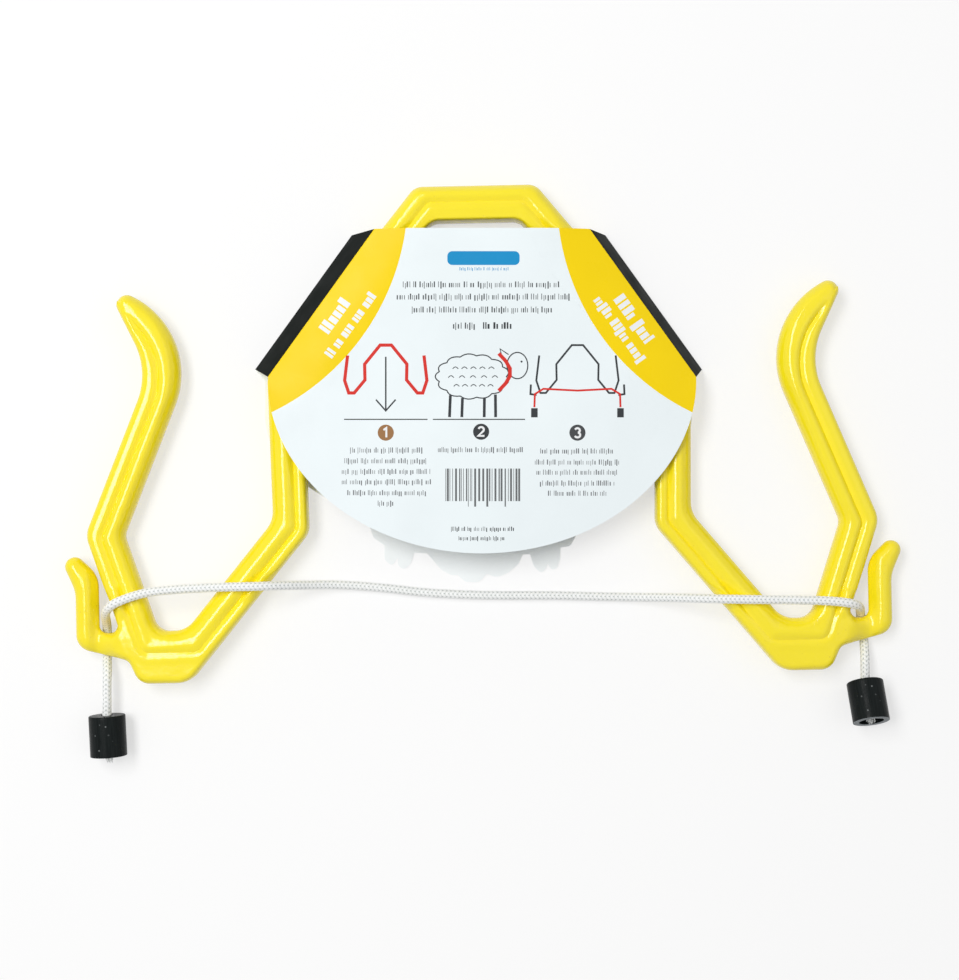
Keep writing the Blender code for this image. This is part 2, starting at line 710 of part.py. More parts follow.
def through_bore(end, aim, cord_aim, distance):
    """The point on the cord this far beyond the middle of a stopper's bore, where the cord crosses its axis."""
    middle = Vector(end) + Vector(aim).normalized() * (STOPPER_FLOOR / 2)
    return tuple(middle + Vector(cord_aim).normalized() * distance)


def make_cord(look):
    """The cord's free length, knot to knot."""
    left = through_bore(LEFT_STOPPER_END, LEFT_STOPPER_AIM, LEFT_CORD_AIM, CORD_END_IN_BORE)
    right = through_bore(RIGHT_STOPPER_END, RIGHT_STOPPER_AIM, RIGHT_CORD_AIM, CORD_END_IN_BORE)
    line = smooth_curve([left, *CORD_ROUTE, right], 2)
    print("cord length", round(sum((b - a).length for a, b in zip(line, line[1:])), 4))
    curve = bpy.data.curves.new("cord", "CURVE")
    curve.dimensions = "3D"
    curve.bevel_depth = CORD_DIAMETER / 2
    curve.bevel_resolution = 2
    curve.use_fill_caps = True
    spline = curve.splines.new("POLY")
    spline.points.add(len(line) - 1)
    for point, place_at in zip(spline.points, line):
        point.co = (*place_at, 1.0)
    place("cord", curve, look)


def main():
    for old in list(bpy.data.objects):
        bpy.data.objects.remove(old, do_unlink=True)
    black = material("black_plastic", (0.02, 0.022, 0.022), 0.4)
    white = material("white_braid", (0.82, 0.82, 0.78), 0.8)
    make_frame()
    make_card()
    make_stopper("left_stopper", LEFT_STOPPER_END, LEFT_STOPPER_AIM, black)
    make_stopper("right_stopper", RIGHT_STOPPER_END, RIGHT_STOPPER_AIM, black)
    make_knot("left_knot", LEFT_STOPPER_END, LEFT_STOPPER_AIM, LEFT_FRAY_LENGTH, white)
    make_knot("right_knot", RIGHT_STOPPER_END, RIGHT_STOPPER_AIM, RIGHT_FRAY_LENGTH, white)
    make_cord(white)


main()
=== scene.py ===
"""The looks of the sheep restrainer: its moulding, braided cord, cup stoppers and printed card sleeve.

Everything is in metres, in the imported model's own axes: Z is up, +Y points to the arch, and X = 0 is
the middle. The print is laid out in millimetres.
"""

import math
import random

import bpy
import numpy as np
from mathutils import Matrix, Vector
from mathutils.geometry import delaunay_2d_cdt


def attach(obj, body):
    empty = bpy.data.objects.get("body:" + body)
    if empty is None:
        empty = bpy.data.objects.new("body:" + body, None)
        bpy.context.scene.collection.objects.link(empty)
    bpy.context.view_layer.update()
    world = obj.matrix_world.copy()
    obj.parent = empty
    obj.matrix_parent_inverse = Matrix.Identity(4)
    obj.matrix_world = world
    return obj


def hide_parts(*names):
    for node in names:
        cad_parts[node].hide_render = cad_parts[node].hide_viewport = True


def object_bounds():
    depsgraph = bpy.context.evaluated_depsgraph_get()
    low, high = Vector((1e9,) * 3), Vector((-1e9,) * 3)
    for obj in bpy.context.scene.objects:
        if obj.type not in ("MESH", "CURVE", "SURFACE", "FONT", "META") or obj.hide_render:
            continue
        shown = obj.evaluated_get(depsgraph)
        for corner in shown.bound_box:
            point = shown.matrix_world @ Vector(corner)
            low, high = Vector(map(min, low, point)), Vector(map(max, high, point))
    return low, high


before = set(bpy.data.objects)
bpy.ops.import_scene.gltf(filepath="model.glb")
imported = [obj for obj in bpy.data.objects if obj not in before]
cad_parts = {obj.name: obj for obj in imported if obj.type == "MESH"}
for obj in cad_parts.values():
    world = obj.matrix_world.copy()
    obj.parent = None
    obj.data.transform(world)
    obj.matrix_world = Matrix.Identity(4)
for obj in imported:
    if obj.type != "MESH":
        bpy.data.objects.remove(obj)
cad_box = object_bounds()

# The photograph's view: straight down, turned a little, from this far above the frame's mid height
PHOTO_PIXELS = (959, 980)
PIXELS_PER_METRE = 1850.0
CAMERA_DISTANCE = 0.9
PHOTO_CENTRE = (-0.00104, -0.0317)
PHOTO_TURN = -1.2
SENSOR = 36.0

# The frame's band: one moulding of constant width, with a groove between two beads on each face
GAP = 0.0003
FRAME_LENGTH = 0.265
BAND_WIDTH = 0.0194
FRAME_THICKNESS = 0.018
EDGE_ROUND = 0.0054
EDGE_WALL = 0.0026
EDGE_DRAFT = 0.00012
POCKET_BEVEL = 1.4
GROOVE_DEPTH = 0.0025
GROOVE_FADE = (-0.004, 0.012)
OUTER_BEAD_DROP = 0.0011
SHALLOWER_AT_BASE = 0.45
SHALLOWER_ON_ARCH = 0.4

# How far the groove lies from the centreline, away from the pocket's side: on the arch, the shoulder,
# the leg, the slant, the base, the lower arm and the arm
GROOVE_SHIFTS = (-0.0003, 0.0015, 0.0030, 0.0030, 0.0016, 0.0012, 0.0003)

# Four widths across the band: the rounding of the pocket side's edge, the rounding of the outer edge,
# and how far the crest of the bead on each of those sides is from the groove
ARM_SECTION = (0.0042, 0.0038, 0.0033, 0.0029)
LEG_SECTION = (0.0062, 0.0024, 0.0046, 0.0024)
ARCH_SECTION = (0.0044, 0.0007, 0.0034, 0.0036)
# The power that curves each wall of the groove, and the radius and the run of each bead's crown
WALL_POWERS = (1.9, 1.7)
CROWN_RADII = (0.015, 0.03)
CROWN_RUNS = (0.0036, 0.0034)
# The runs over which one form gives way to another, from the named places, the groove or the cord
ARM_TO_LEG = (-0.004, -0.002)
LEG_TO_ARCH = (-0.02, -0.006)
AT_BASE = (0.022, 0.004)
OUTER_TO_POCKET = (-0.002, 0.003)
NEAR_CORD = (0.0095, 0.0045)

# Corners of the band's centreline, from the arch to the elbow of the arm
SHOULDER_X = 0.028
KNEE = (0.1045, 0.0285)
HIP = (0.103, -0.0494)
POCKET_DEPTH = 0.0645
POCKET_LEG_X = 0.1564
POCKET_ARM_X = 0.1831
ELBOW = (0.2036, -0.052)

# Fillet radii at those corners, for the outer contour and for the inner one
SHOULDER_RADII = (0.009, 0.008)
KNEE_RADII = (0.012, 0.012)
HIP_RADII = (0.015, 0.012)
POCKET_LEG_RADIUS = 0.014
POCKET_ARM_RADIUS = 0.0085
ELBOW_RADII = (0.008, 0.0136)
GROOVE_RADIUS = 0.006

# The arm above the elbow, and its narrow round tip
ARM_LEAN = 22.3
TIP = (0.189, 0.0719)
TIP_RADIUS = 0.0056
TIP_POCKET_SLOPE = 28.0
TIP_OUTER_SLOPE = 64.8
WRIST_RADII = (0.0465, 0.038)
GROOVE_END = (0.1880, 0.0662)
GROOVE_WRIST_RADIUS = 0.04

# The thick pad below each leg pocket
PAD_LEG_RADIUS = 0.0145
PAD_HEEL_X = 0.1863
PAD_HEEL_RADIUS = 0.009
PAD_TOE = (0.1919, -0.12)
PAD_TOE_RADIUS = 0.005

# The cord hook outside each pad, and the slot between it and the arm
SLOT_THROAT = 0.0026
SLOT_THROAT_Y = -0.078
SLOT_FLOOR_Y = -0.1047
SLOT_FLOOR_RADIUS = 0.0041
HOOK_WIDTH = 0.0126
HOOK_TIP_OFFSET = 0.0127
HOOK_TIP_Y = -0.0686
HOOK_TIP_RADIUS = 0.0052
HOOK_INNER_SLOPE = 44.0
HOOK_OUTER_SLOPE = 66.5
HOOK_RADII = (0.015, 0.02)
HOOK_HEEL_DROP = 0.0079
HOOK_HEEL_RADIUS = 0.009
HOOK_ROUND = 0.0062
HOOK_THICKNESS = 0.0118
WEB_THICKNESS = 0.0064
WEB_BLEND = 0.003
WEB_REACH = 0.014
WEB_TOP = (0.007, 0.001)
HOOK_SWELL = 0.006

# The fine mesh of the frame: its spacing, the rows that follow its rim, and the moulding's parting line
FINE_TURN = 4.0
FINE_RUN = 0.001
RIM_ROWS = (0.00004, 0.00013, 0.0003, 0.0006, 0.0011, 0.0018, 0.0026, 0.0034, 0.0042)
GROOVE_ROWS = (-0.0042, -0.0035, -0.0028, -0.0021, -0.0016, -0.0011, -0.0005,
               0.0007, 0.0015, 0.0023, 0.0031, 0.0038, 0.0045, 0.0053)
ROW_GAP = 0.0004
PARTING_LIP = 0.00012
# The share of its distance from a line that a moved row's point has to keep
CLEAR_SHARE = 0.985
# How strongly heights are drawn together, from how far inside the rim, and over what run
SMOOTHING = 0.3
SMOOTHED_FROM = 0.0015
SMOOTHED_OVER = 0.002

# The folded card sleeve, in its own axes: its middle is where the sides are widest
CARD_THICKNESS = 0.0005
CARD_MIDDLE = (0.0016, 0.0287)
CARD_TURN = -1.2
CARD_HALF_WIDTH = 0.1145
CARD_TOP_HALF_WIDTH = 0.0575
CARD_RISE = 0.0792
CARD_DROP = 0.0942
SPINE_LEAN = 0.0097
SPINE_TOP_CUT = 0.0078
BACK_SHIFT = -0.002
BACK_SIDE_X = 0.1165
BACK_SIDE_TOP = -0.001
BACK_SIDE_DROP = 0.020
BACK_DROP = 0.084
# The corners of the back panel's scalloped edge, from left to right, with their radii
BACK_SCALLOPS = (
    (-0.0615, -0.0744, 0.0), (-0.0572, -0.0866, 0.004), (-0.0512, -0.0907, 0.0008),
    (-0.0512, -0.0985, 0.004), (-0.0470, -0.1023, 0.002), (-0.0438, -0.0968, 0.0003),
    (-0.0440, -0.1012, 0.0022), (-0.0408, -0.1042, 0.0022), (-0.0370, -0.1008, 0.0035),
    (-0.0350, -0.0946, 0.0006), (-0.0279, -0.0951, 0.0012), (-0.0200, -0.1042, 0.007),
    (-0.0150, -0.1068, 0.005), (-0.0112, -0.1069, 0.001), (-0.0072, -0.1106, 0.0035),
    (0.0006, -0.1108, 0.0045), (0.0046, -0.1062, 0.0008), (0.0100, -0.1082, 0.007),
    (0.0165, -0.1056, 0.008), (0.0218, -0.1010, 0.008), (0.0243, -0.0957, 0.001),
    (0.0284, -0.0955, 0.0008), (0.0302, -0.1020, 0.006), (0.0346, -0.1064, 0.0022),
    (0.0374, -0.1025, 0.0012), (0.0376, -0.1002, 0.0003), (0.0400, -0.1040, 0.0018),
    (0.0430, -0.1032, 0.0022), (0.0446, -0.0980, 0.004), (0.0449, -0.0918, 0.0006),
    (0.0500, -0.0912, 0.003), (0.0526, -0.0868, 0.004), (0.0580, -0.0755, 0.0),
)
FRONT_FOLD_RADIUS = 0.0010
BACK_FOLD_RADIUS = 0.0009
CARD_BULGE = 0.0033
CARD_BULGE_RUN = 0.028

# The braided cord and what is on it
CORD_DIAMETER = 0.0049
CORD_BORE_CLEARANCE = 0.0006
CORD_END_IN_BORE = 0.0009
CORD_SIDES = 40
CORD_STEP = 0.00027
# Where a tan tint lies on the cord at each slot, painted for the yellow light the frame throws back on it and
# for rub dirt, and how far it reaches
DIRT_AND_BOUNCE_SPOTS = ((-0.2035, -0.0955, 0.012), (0.2030, -0.1000, 0.012))
DIRT_AND_BOUNCE_REACH = 0.013
STOPPER_RADIUS = 0.01
STOPPER_LENGTH = 0.022
STOPPER_WALL = 0.0033
STOPPER_FLOOR = 0.003
STOPPER_SIDES = 112
# The share of its radius that a cup's outside keeps, and how far that share wavers round the cup
STOPPER_OUTSIDE = 0.985
STOPPER_WAVER = 0.003
KNOT_RADIUS = 0.0051
KNOT_LENGTH = 0.0105
KNOT_TURNS = 1.55
KNOT_SQUEEZE = 0.86
STRAND_COUNT = 34
STRAND_RADIUS = 0.00026
BRAID_COLUMNS = 8
BRAID_PITCH = 0.0023
BRAID_LEAN = 0.58
BRAID_DEPTH = 0.13

FRAME_BOTTOM = CARD_THICKNESS + GAP
FRAME_MIDDLE = FRAME_BOTTOM + FRAME_THICKNESS / 2
FRAME_TOP = FRAME_BOTTOM + FRAME_THICKNESS
CARD_TOP = FRAME_TOP + GAP + CARD_THICKNESS

# The cord's two ends: where the stopper's closed end lies, the way it points, away from the frame,
# the cord's way through it, the length of the frayed end and the seed of its strands
STOPPER_REST_Z = STOPPER_RADIUS + 0.0001
CORD_ENDS = {
    "left": ((-0.2049, -0.1491, STOPPER_REST_Z), (0.029, -1.0, 0.0), (-0.021, -1.0, 0.0), 0.0124, 3),
    "right": ((0.2048, -0.1396, 0.0105), (0.063, -0.93, 0.365), (-0.048, -0.984, 0.17), 0.0094, 8),
}

# The cord's route, from the left knot over the front of the frame to the right knot
CORD_ROUTE = [
    (-0.2047, -0.1420, 0.0101), (-0.2046, -0.1360, 0.0101), (-0.2045, -0.1310, 0.0100),
    (-0.2045, -0.1270, 0.0091), (-0.2048, -0.1232, 0.0072), (-0.2052, -0.1195, 0.0051),
    (-0.2055, -0.1155, 0.0035), (-0.2055, -0.1108, 0.0029), (-0.2053, -0.1060, 0.0030),
    (-0.2050, -0.1020, 0.0046), (-0.2046, -0.0987, 0.0078), (-0.2041, -0.0961, 0.0119),
    (-0.2031, -0.0937, 0.0158), (-0.2011, -0.0911, 0.0192), (-0.1979, -0.0887, 0.0213),
    (-0.1935, -0.0867, 0.0219), (-0.1860, -0.0842, 0.0216), (-0.1780, -0.0825, 0.0212),
    (-0.1660, -0.0815, 0.0208), (-0.1540, -0.0810, 0.0211), (-0.1430, -0.0807, 0.0216),
    (-0.1340, -0.0806, 0.0218), (-0.1240, -0.0806, 0.0217), (-0.1160, -0.0806, 0.0201),
    (-0.1060, -0.0808, 0.0154), (-0.0940, -0.0812, 0.0088), (-0.0820, -0.0816, 0.0044),
    (-0.0700, -0.0824, 0.0028), (-0.0520, -0.0843, 0.0026), (-0.0320, -0.0869, 0.0026),
    (-0.0020, -0.0890, 0.0026), (0.0400, -0.0901, 0.0026), (0.0650, -0.0912, 0.0026),
    (0.0800, -0.0917, 0.0033), (0.0930, -0.0919, 0.0068), (0.1050, -0.0920, 0.0128),
    (0.1160, -0.0922, 0.0184), (0.1250, -0.0925, 0.0210), (0.1340, -0.0928, 0.0218),
    (0.1450, -0.0932, 0.0217), (0.1620, -0.0938, 0.0210), (0.1780, -0.0944, 0.0212),
    (0.1868, -0.0950, 0.0218), (0.1925, -0.0957, 0.0216), (0.1969, -0.0966, 0.0204),
    (0.2001, -0.0978, 0.0179), (0.2022, -0.0993, 0.0139), (0.2035, -0.1012, 0.0093),
    (0.2045, -0.1045, 0.0056), (0.2055, -0.1086, 0.0035), (0.2061, -0.1130, 0.0029),
    (0.2063, -0.1168, 0.0037), (0.2061, -0.1206, 0.0055), (0.2058, -0.1246, 0.0076),
    (0.2055, -0.1291, 0.0090), (0.2053, -0.1335, 0.0098), (0.2050, -0.1380, 0.0105),
]


# Plane geometry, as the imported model's own outline is made


def unit(angle):
    """The direction at this many degrees from +X."""
    return (math.cos(math.radians(angle)), math.sin(math.radians(angle)))


def toward(start, end):
    """The direction from one point to another."""
    length = math.dist(start, end)
    return ((end[0] - start[0]) / length, (end[1] - start[1]) / length)


def beside(point, direction, distance):
    """The point this far to the left of a direction."""
    return (point[0] - direction[1] * distance, point[1] + direction[0] * distance)


def meet(point, direction, other, other_direction):
    """Where two lines cross."""
    cross = direction[0] * other_direction[1] - direction[1] * other_direction[0]
    dx, dy = other[0] - point[0], other[1] - point[1]
    along = (dx * other_direction[1] - dy * other_direction[0]) / cross
    return (point[0] + direction[0] * along, point[1] + direction[1] * along)


def offset_corners(corners, distance):
    """The inner corners of a chain of lines, moved sideways by a distance to its left."""
    moved = []
    for before, corner, after in zip(corners, corners[1:], corners[2:]):
        into, out = toward(before, corner), toward(corner, after)
        moved.append(meet(beside(before, into, distance), into, beside(after, out, distance), out))
    return moved


def fillet(before, corner, after, radius, step):
    """The arc that rounds a corner, as points about step degrees apart."""
    into, out = toward(before, corner), toward(corner, after)
    turn = math.atan2(into[0] * out[1] - into[1] * out[0], into[0] * out[0] + into[1] * out[1])
    reach = radius * math.tan(abs(turn) / 2)
    side = math.copysign(1.0, turn)
    start = (corner[0] - into[0] * reach, corner[1] - into[1] * reach)
    centre = beside(start, into, side * radius)
    first = math.atan2(start[1] - centre[1], start[0] - centre[0])
    count = max(2, round(abs(math.degrees(turn)) / step))
    angles = [first + turn * k / count for k in range(count + 1)]
    return [(centre[0] + radius * math.cos(a), centre[1] + radius * math.sin(a)) for a in angles]


def rounded(chain, step, closed=True):
    """The points along a chain of (x, y, radius) corners, with each corner rounded."""
    points = []
    count = len(chain)
    for k, (x, y, radius) in enumerate(chain):
        if not radius or (not closed and k in (0, count - 1)):
            points.append((x, y))
            continue
        before, after = chain[k - 1][:2], chain[(k + 1) % count][:2]
        points += fillet(before, (x, y), after, radius, step)
    return points


def arc(centre, radius, start, end, step):
    """The corners of a round end, which need no more rounding."""
    count = max(2, round(abs(end - start) / step))
    angles = [start + (end - start) * k / count for k in range(count + 1)]
    return [(centre[0] + radius * unit(a)[0], centre[1] + radius * unit(a)[1], 0.0) for a in angles]


def mirrored(half):
    """A half contour, joined to its mirror image across X = 0."""
    return half + [(-x, *rest) for x, *rest in reversed(half)]


def spread(points, spacing, closed=False):
    """A polyline with more points, no two further apart than the spacing."""
    ends = points[1:] + points[:1] if closed else points[1:]
    filled = []
    for start, end in zip(points, ends):
        count = max(1, math.ceil(math.dist(start, end) / spacing))
        filled += [
            (start[0] + (end[0] - start[0]) * k / count, start[1] + (end[1] - start[1]) * k / count)
            for k in range(count)
        ]
    return filled if closed else filled + [points[-1]]


def in_chunks(work, points, size=1500):
    """The work done on a long array of points, a part at a time."""
    return np.concatenate([work(points[k : k + size]) for k in range(0, len(points), size)])


def ring_edges(outline):
    """The edges that close an outline whose points come first in a mesh."""
    return [(k, (k + 1) % len(outline)) for k in range(len(outline))]


def offset_from(line, points, closed=False):
    """How far each point lies to the left of a polyline, and how far along it."""
    start = np.array(line)
    along = (np.roll(start, -1, axis=0) if closed else start[1:]) - (start if closed else start[:-1])
    start = start[: len(along)]
    length_squared = np.maximum((along**2).sum(axis=1), 1e-18)
    length = np.sqrt(length_squared)
    before = np.concatenate([[0.0], np.cumsum(length)[:-1]])

    def nearest(some):
        from_start = some[:, None, :] - start[None]
        share = np.clip((from_start * along).sum(axis=2) / length_squared, 0.0, 1.0)
        distance = np.linalg.norm(from_start - share[..., None] * along, axis=2)
        best = distance.argmin(axis=1)
        rows = np.arange(len(some))
        cross = along[best, 0] * from_start[rows, best, 1] - along[best, 1] * from_start[rows, best, 0]
        place = before[best] + share[rows, best] * length[best]
        return np.column_stack([np.copysign(distance[rows, best], cross), place])

    return in_chunks(nearest, np.asarray(points))


def distance_to(line, points, closed=True):
    """How far each point is from a polyline."""
    return np.abs(offset_from(line, points, closed)[:, 0])


def inside(line, points):
    """Which points lie inside a closed polyline."""
    start = np.array(line)
    end = np.roll(start, -1, axis=0)
    rise = np.where(end[:, 1] == start[:, 1], 1.0, end[:, 1] - start[:, 1])

    def odd(some):
        x, y = some[:, 0, None], some[:, 1, None]
        spans = (start[:, 1] > y) != (end[:, 1] > y)
        crossing = start[:, 0] + (y - start[:, 1]) * (end[:, 0] - start[:, 0]) / rise
        return (spans & (x < crossing)).sum(axis=1) % 2 == 1

    return in_chunks(odd, np.asarray(points))


# The frame's outline and thickness

HALF_BAND = BAND_WIDTH / 2
ARCH_Y = FRAME_LENGTH / 2 - HALF_BAND
PAD_Y = -FRAME_LENGTH / 2
POCKET_Y = HIP[1] - POCKET_DEPTH
ARM_UP = unit(90 + ARM_LEAN)
ARM_FAR = (ELBOW[0] + ARM_UP[0] * 0.1, ELBOW[1] + ARM_UP[1] * 0.1)
CENTRELINE = [
    (0.0, ARCH_Y),
    (SHOULDER_X, ARCH_Y),
    KNEE,
    HIP,
    (POCKET_LEG_X, POCKET_Y),
    (POCKET_ARM_X, POCKET_Y),
    ELBOW,
    ARM_FAR,
]
OUTER_CORNERS = offset_corners(CENTRELINE, HALF_BAND)
INNER_CORNERS = offset_corners(CENTRELINE, -HALF_BAND)
LOWER_ARM = toward(CENTRELINE[5], ELBOW)
LOWER_ARM_EDGE = beside(ELBOW, LOWER_ARM, -HALF_BAND)


def edge_of_lower_arm(y):
    """Where the lower arm's outer edge, drawn on, has this height."""
    return meet(LOWER_ARM_EDGE, LOWER_ARM, (0.0, y), (1.0, 0.0))


HOOK_WALL_X = edge_of_lower_arm(SLOT_THROAT_Y)[0] + SLOT_THROAT


def arm_tip(step):
    """The contour of the arm above the elbow, up one edge, round the tip and down the other."""
    pocket_side, outer_side = unit(TIP_POCKET_SLOPE), unit(TIP_OUTER_SLOPE)
    pocket_wrist = meet(OUTER_CORNERS[5], ARM_UP, beside(TIP, pocket_side, TIP_RADIUS), pocket_side)
    outer_wrist = meet(INNER_CORNERS[5], ARM_UP, beside(TIP, outer_side, -TIP_RADIUS), outer_side)
    return [
        (*pocket_wrist, WRIST_RADII[0]),
        *arc(TIP, TIP_RADIUS, TIP_POCKET_SLOPE + 90, TIP_OUTER_SLOPE - 90, step),
        (*outer_wrist, WRIST_RADII[1]),
    ]


def hook(step):
    """The contour from the slot, round the cord hook, to the toe of the pad."""
    outer_x = HOOK_WALL_X + HOOK_WIDTH
    tip = (HOOK_WALL_X + HOOK_TIP_OFFSET, HOOK_TIP_Y)
    inner_side, outer_side = unit(HOOK_INNER_SLOPE), unit(HOOK_OUTER_SLOPE)
    inner_bend = meet((HOOK_WALL_X, 0.0), (0.0, 1.0), beside(tip, inner_side, HOOK_TIP_RADIUS), inner_side)
    outer_bend = meet((outer_x, 0.0), (0.0, 1.0), beside(tip, outer_side, -HOOK_TIP_RADIUS), outer_side)
    return [
        (*edge_of_lower_arm(SLOT_FLOOR_Y), SLOT_FLOOR_RADIUS),
        (HOOK_WALL_X, SLOT_FLOOR_Y, SLOT_FLOOR_RADIUS),
        (*inner_bend, HOOK_RADII[0]),
        *arc(tip, HOOK_TIP_RADIUS, HOOK_INNER_SLOPE + 90, HOOK_OUTER_SLOPE - 90, step),
        (*outer_bend, HOOK_RADII[1]),
        (outer_x, SLOT_FLOOR_Y - HOOK_HEEL_DROP, HOOK_HEEL_RADIUS),
        (*PAD_TOE, PAD_TOE_RADIUS),
    ]


def contour(step, with_hook):
    """The frame's outline, clockwise from the right shoulder."""
    pad_leg = meet(INNER_CORNERS[2], toward(CENTRELINE[3], CENTRELINE[4]), (0.0, PAD_Y), (1.0, 0.0))
    radii = (SHOULDER_RADII, KNEE_RADII, HIP_RADII)
    half = [(*OUTER_CORNERS[k], radii[k][0]) for k in range(3)]
    half += [
        (*OUTER_CORNERS[3], POCKET_LEG_RADIUS),
        (*OUTER_CORNERS[4], POCKET_ARM_RADIUS),
        (*OUTER_CORNERS[5], ELBOW_RADII[0]),
        *arm_tip(step),
        (*INNER_CORNERS[5], ELBOW_RADII[1]),
    ]
    if with_hook:
        half += hook(step)
    half += [(PAD_HEEL_X, PAD_Y, PAD_HEEL_RADIUS), (*pad_leg, PAD_LEG_RADIUS)]
    half += [(*INNER_CORNERS[k], radii[k][1]) for k in (2, 1, 0)]
    return rounded(mirrored(half), step)


def groove_line(step):
    """The bottom of the groove between the two beads, from one arm to the other."""
    lines = [(beside(a, toward(a, b), -shift), toward(a, b))
             for a, b, shift in zip(CENTRELINE, CENTRELINE[1:], GROOVE_SHIFTS)]
    corners = [meet(*one, *two) for one, two in zip(lines, lines[1:])]
    wrist = meet(corners[-1], ARM_UP, GROOVE_END, unit(TIP_OUTER_SLOPE - 12))
    half = [(*corner, GROOVE_RADIUS) for corner in corners]
    half += [(*wrist, GROOVE_WRIST_RADIUS), (*GROOVE_END, 0.0)]
    left = [(-x, *rest) for x, *rest in reversed(half)]
    return rounded(left + half, step, closed=False)


def round_over(depth, radius, power=2.0):
    """The height, from 0 to 1, of a rounded edge this far inside it; a lower power is nearer to a bevel."""
    inward = np.clip(depth / radius, 0.0, 1.0)
    return (1.0 - (1.0 - inward) ** power) ** (1.0 / power)


def eased_step(value, low, high):
    """0 at low and beyond, 1 at high and beyond, and a smooth step between."""
    share = np.clip((value - low) / (high - low), 0.0, 1.0)
    return share * share * (3.0 - 2.0 * share)


def section_at(points):
    """The section's four widths at each point, and how much of the arch's section is in them."""
    on_leg = eased_step(np.abs(points[:, 0]), POCKET_ARM_X + ARM_TO_LEG[0], POCKET_LEG_X + ARM_TO_LEG[1])
    on_arch = eased_step(points[:, 1], ARCH_Y + LEG_TO_ARCH[0], ARCH_Y + LEG_TO_ARCH[1])
    widths = []
    for arm, leg, arch in zip(ARM_SECTION, LEG_SECTION, ARCH_SECTION):
        width = arm + (leg - arm) * on_leg
        widths.append(width + (arch - width) * on_arch)
    return widths, on_arch


def groove_dip(points, groove, near_cord):
    """How far the two beads and the groove lie below the top, and how far each point is from the groove."""
    offset, along = offset_from(groove, points).T
    length = sum(math.dist(a, b) for a, b in zip(groove, groove[1:]))
    (_, _, *crests), on_arch = section_at(points)
    at_base = eased_step(points[:, 1], POCKET_Y + AT_BASE[0], POCKET_Y + AT_BASE[1])
    share = eased_step(np.minimum(along, length - along), *GROOVE_FADE)
    share = share * (1.0 - SHALLOWER_AT_BASE * at_base) * (1.0 - SHALLOWER_ON_ARCH * on_arch)
    deep = GROOVE_DEPTH * share
    outer_drop = OUTER_BEAD_DROP * share * (1.0 - near_cord) * (1.0 - on_arch)
    sides = []
    for k, (away, drop) in enumerate(((offset, 0.0), (-offset, outer_drop))):
        wall = np.clip(1.0 - away / crests[k], 0.0, 1.0) ** WALL_POWERS[k]
        past = np.clip(away - crests[k], 0.0, CROWN_RUNS[k])
        sides.append(drop + (deep - drop) * wall + past**2 / (2.0 * CROWN_RADII[k]))
    return np.where(offset > 0.0, *sides), offset


def half_heights(points, outline, body, groove):
    """How far the frame stands above its middle plane at each point, and how far below it.

    In front the pad runs on into the hook; behind, a thin web leaves room for the cord.
    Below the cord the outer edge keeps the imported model's wide rounding.
    """
    edge = distance_to(outline, points)
    to_body = distance_to(body, points)
    in_body = inside(body, points)
    to_cord = distance_to([(x, y) for x, y, _ in CORD_ROUTE], points, closed=False)
    near_cord = eased_step(to_cord, *NEAR_CORD)
    dip, offset = groove_dip(points, groove, near_cord)
    high = FRAME_THICKNESS / 2
    pocket = eased_step(offset, *OUTER_TO_POCKET)
    (pocket_round, outer_round, _, _), _ = section_at(points)

    def beaded(depth):
        wall = EDGE_WALL / high * np.clip(depth / EDGE_DRAFT, 0.0, 1.0)
        rise = 1.0 - EDGE_WALL / high
        inner = wall + rise * round_over(depth - EDGE_DRAFT, pocket_round, POCKET_BEVEL)
        outer = wall + rise * round_over(depth - EDGE_DRAFT, outer_round)
        outer = outer + near_cord * (round_over(depth, EDGE_ROUND) - outer)
        return (high - dip) * (pocket * inner + (1.0 - pocket) * outer)

    lobe = eased_step(np.abs(points[:, 0]), HOOK_WALL_X, HOOK_WALL_X + HOOK_SWELL)
    hook_half = WEB_THICKNESS / 2 + lobe * (HOOK_THICKNESS - WEB_THICKNESS) / 2
    web = hook_half * round_over(edge, HOOK_ROUND)
    below_slot = eased_step(points[:, 1], SLOT_FLOOR_Y + WEB_TOP[0], SLOT_FLOOR_Y + WEB_TOP[1])
    beside_body = eased_step(to_body, WEB_REACH, 0.0) * below_slot
    share = np.where(in_body, 1.0, beside_body)
    front = share * beaded(edge) + (1.0 - share) * web
    band = beaded(np.where(in_body, to_body, 0.0))
    blend = np.maximum(WEB_BLEND * np.clip(edge / EDGE_ROUND, 0.0, 1.0), 1e-9)
    overlap = np.maximum(blend - np.abs(band - web), 0.0)
    return front, np.maximum(band, web) + overlap**2 / (4.0 * blend)


def lattice(low, high, spacing):
    """A triangular lattice of points that fills a box, and its mirror image."""
    rise = spacing * math.sqrt(0.75)
    points = []
    for j in range(int((high[1] - low[1]) / rise) + 1):
        start = low[0] + spacing * (0.5 + 0.5 * (j % 2))
        for k in range(int((high[0] - start) / spacing) + 1):
            points += [(side * (start + k * spacing), low[1] + j * rise) for side in (1, -1)]
    return np.array(points)


def moved_row(line, closed, distance, shape):
    """A line's points moved this far to its left, where they stay clear of it and inside the outline."""
    start = np.array(line)
    chord = np.roll(start, -1, axis=0) - np.roll(start, 1, axis=0) if closed else np.gradient(start, axis=0)
    normal = np.column_stack([-chord[:, 1], chord[:, 0]])
    row = start + normal / np.linalg.norm(normal, axis=1)[:, None] * distance
    row = row[distance_to(shape if closed else line, row, closed) > abs(distance) * CLEAR_SHARE]
    if closed:
        return row
    return row[inside(shape, row) & (distance_to(shape, row) > RIM_ROWS[-1] + ROW_GAP)]


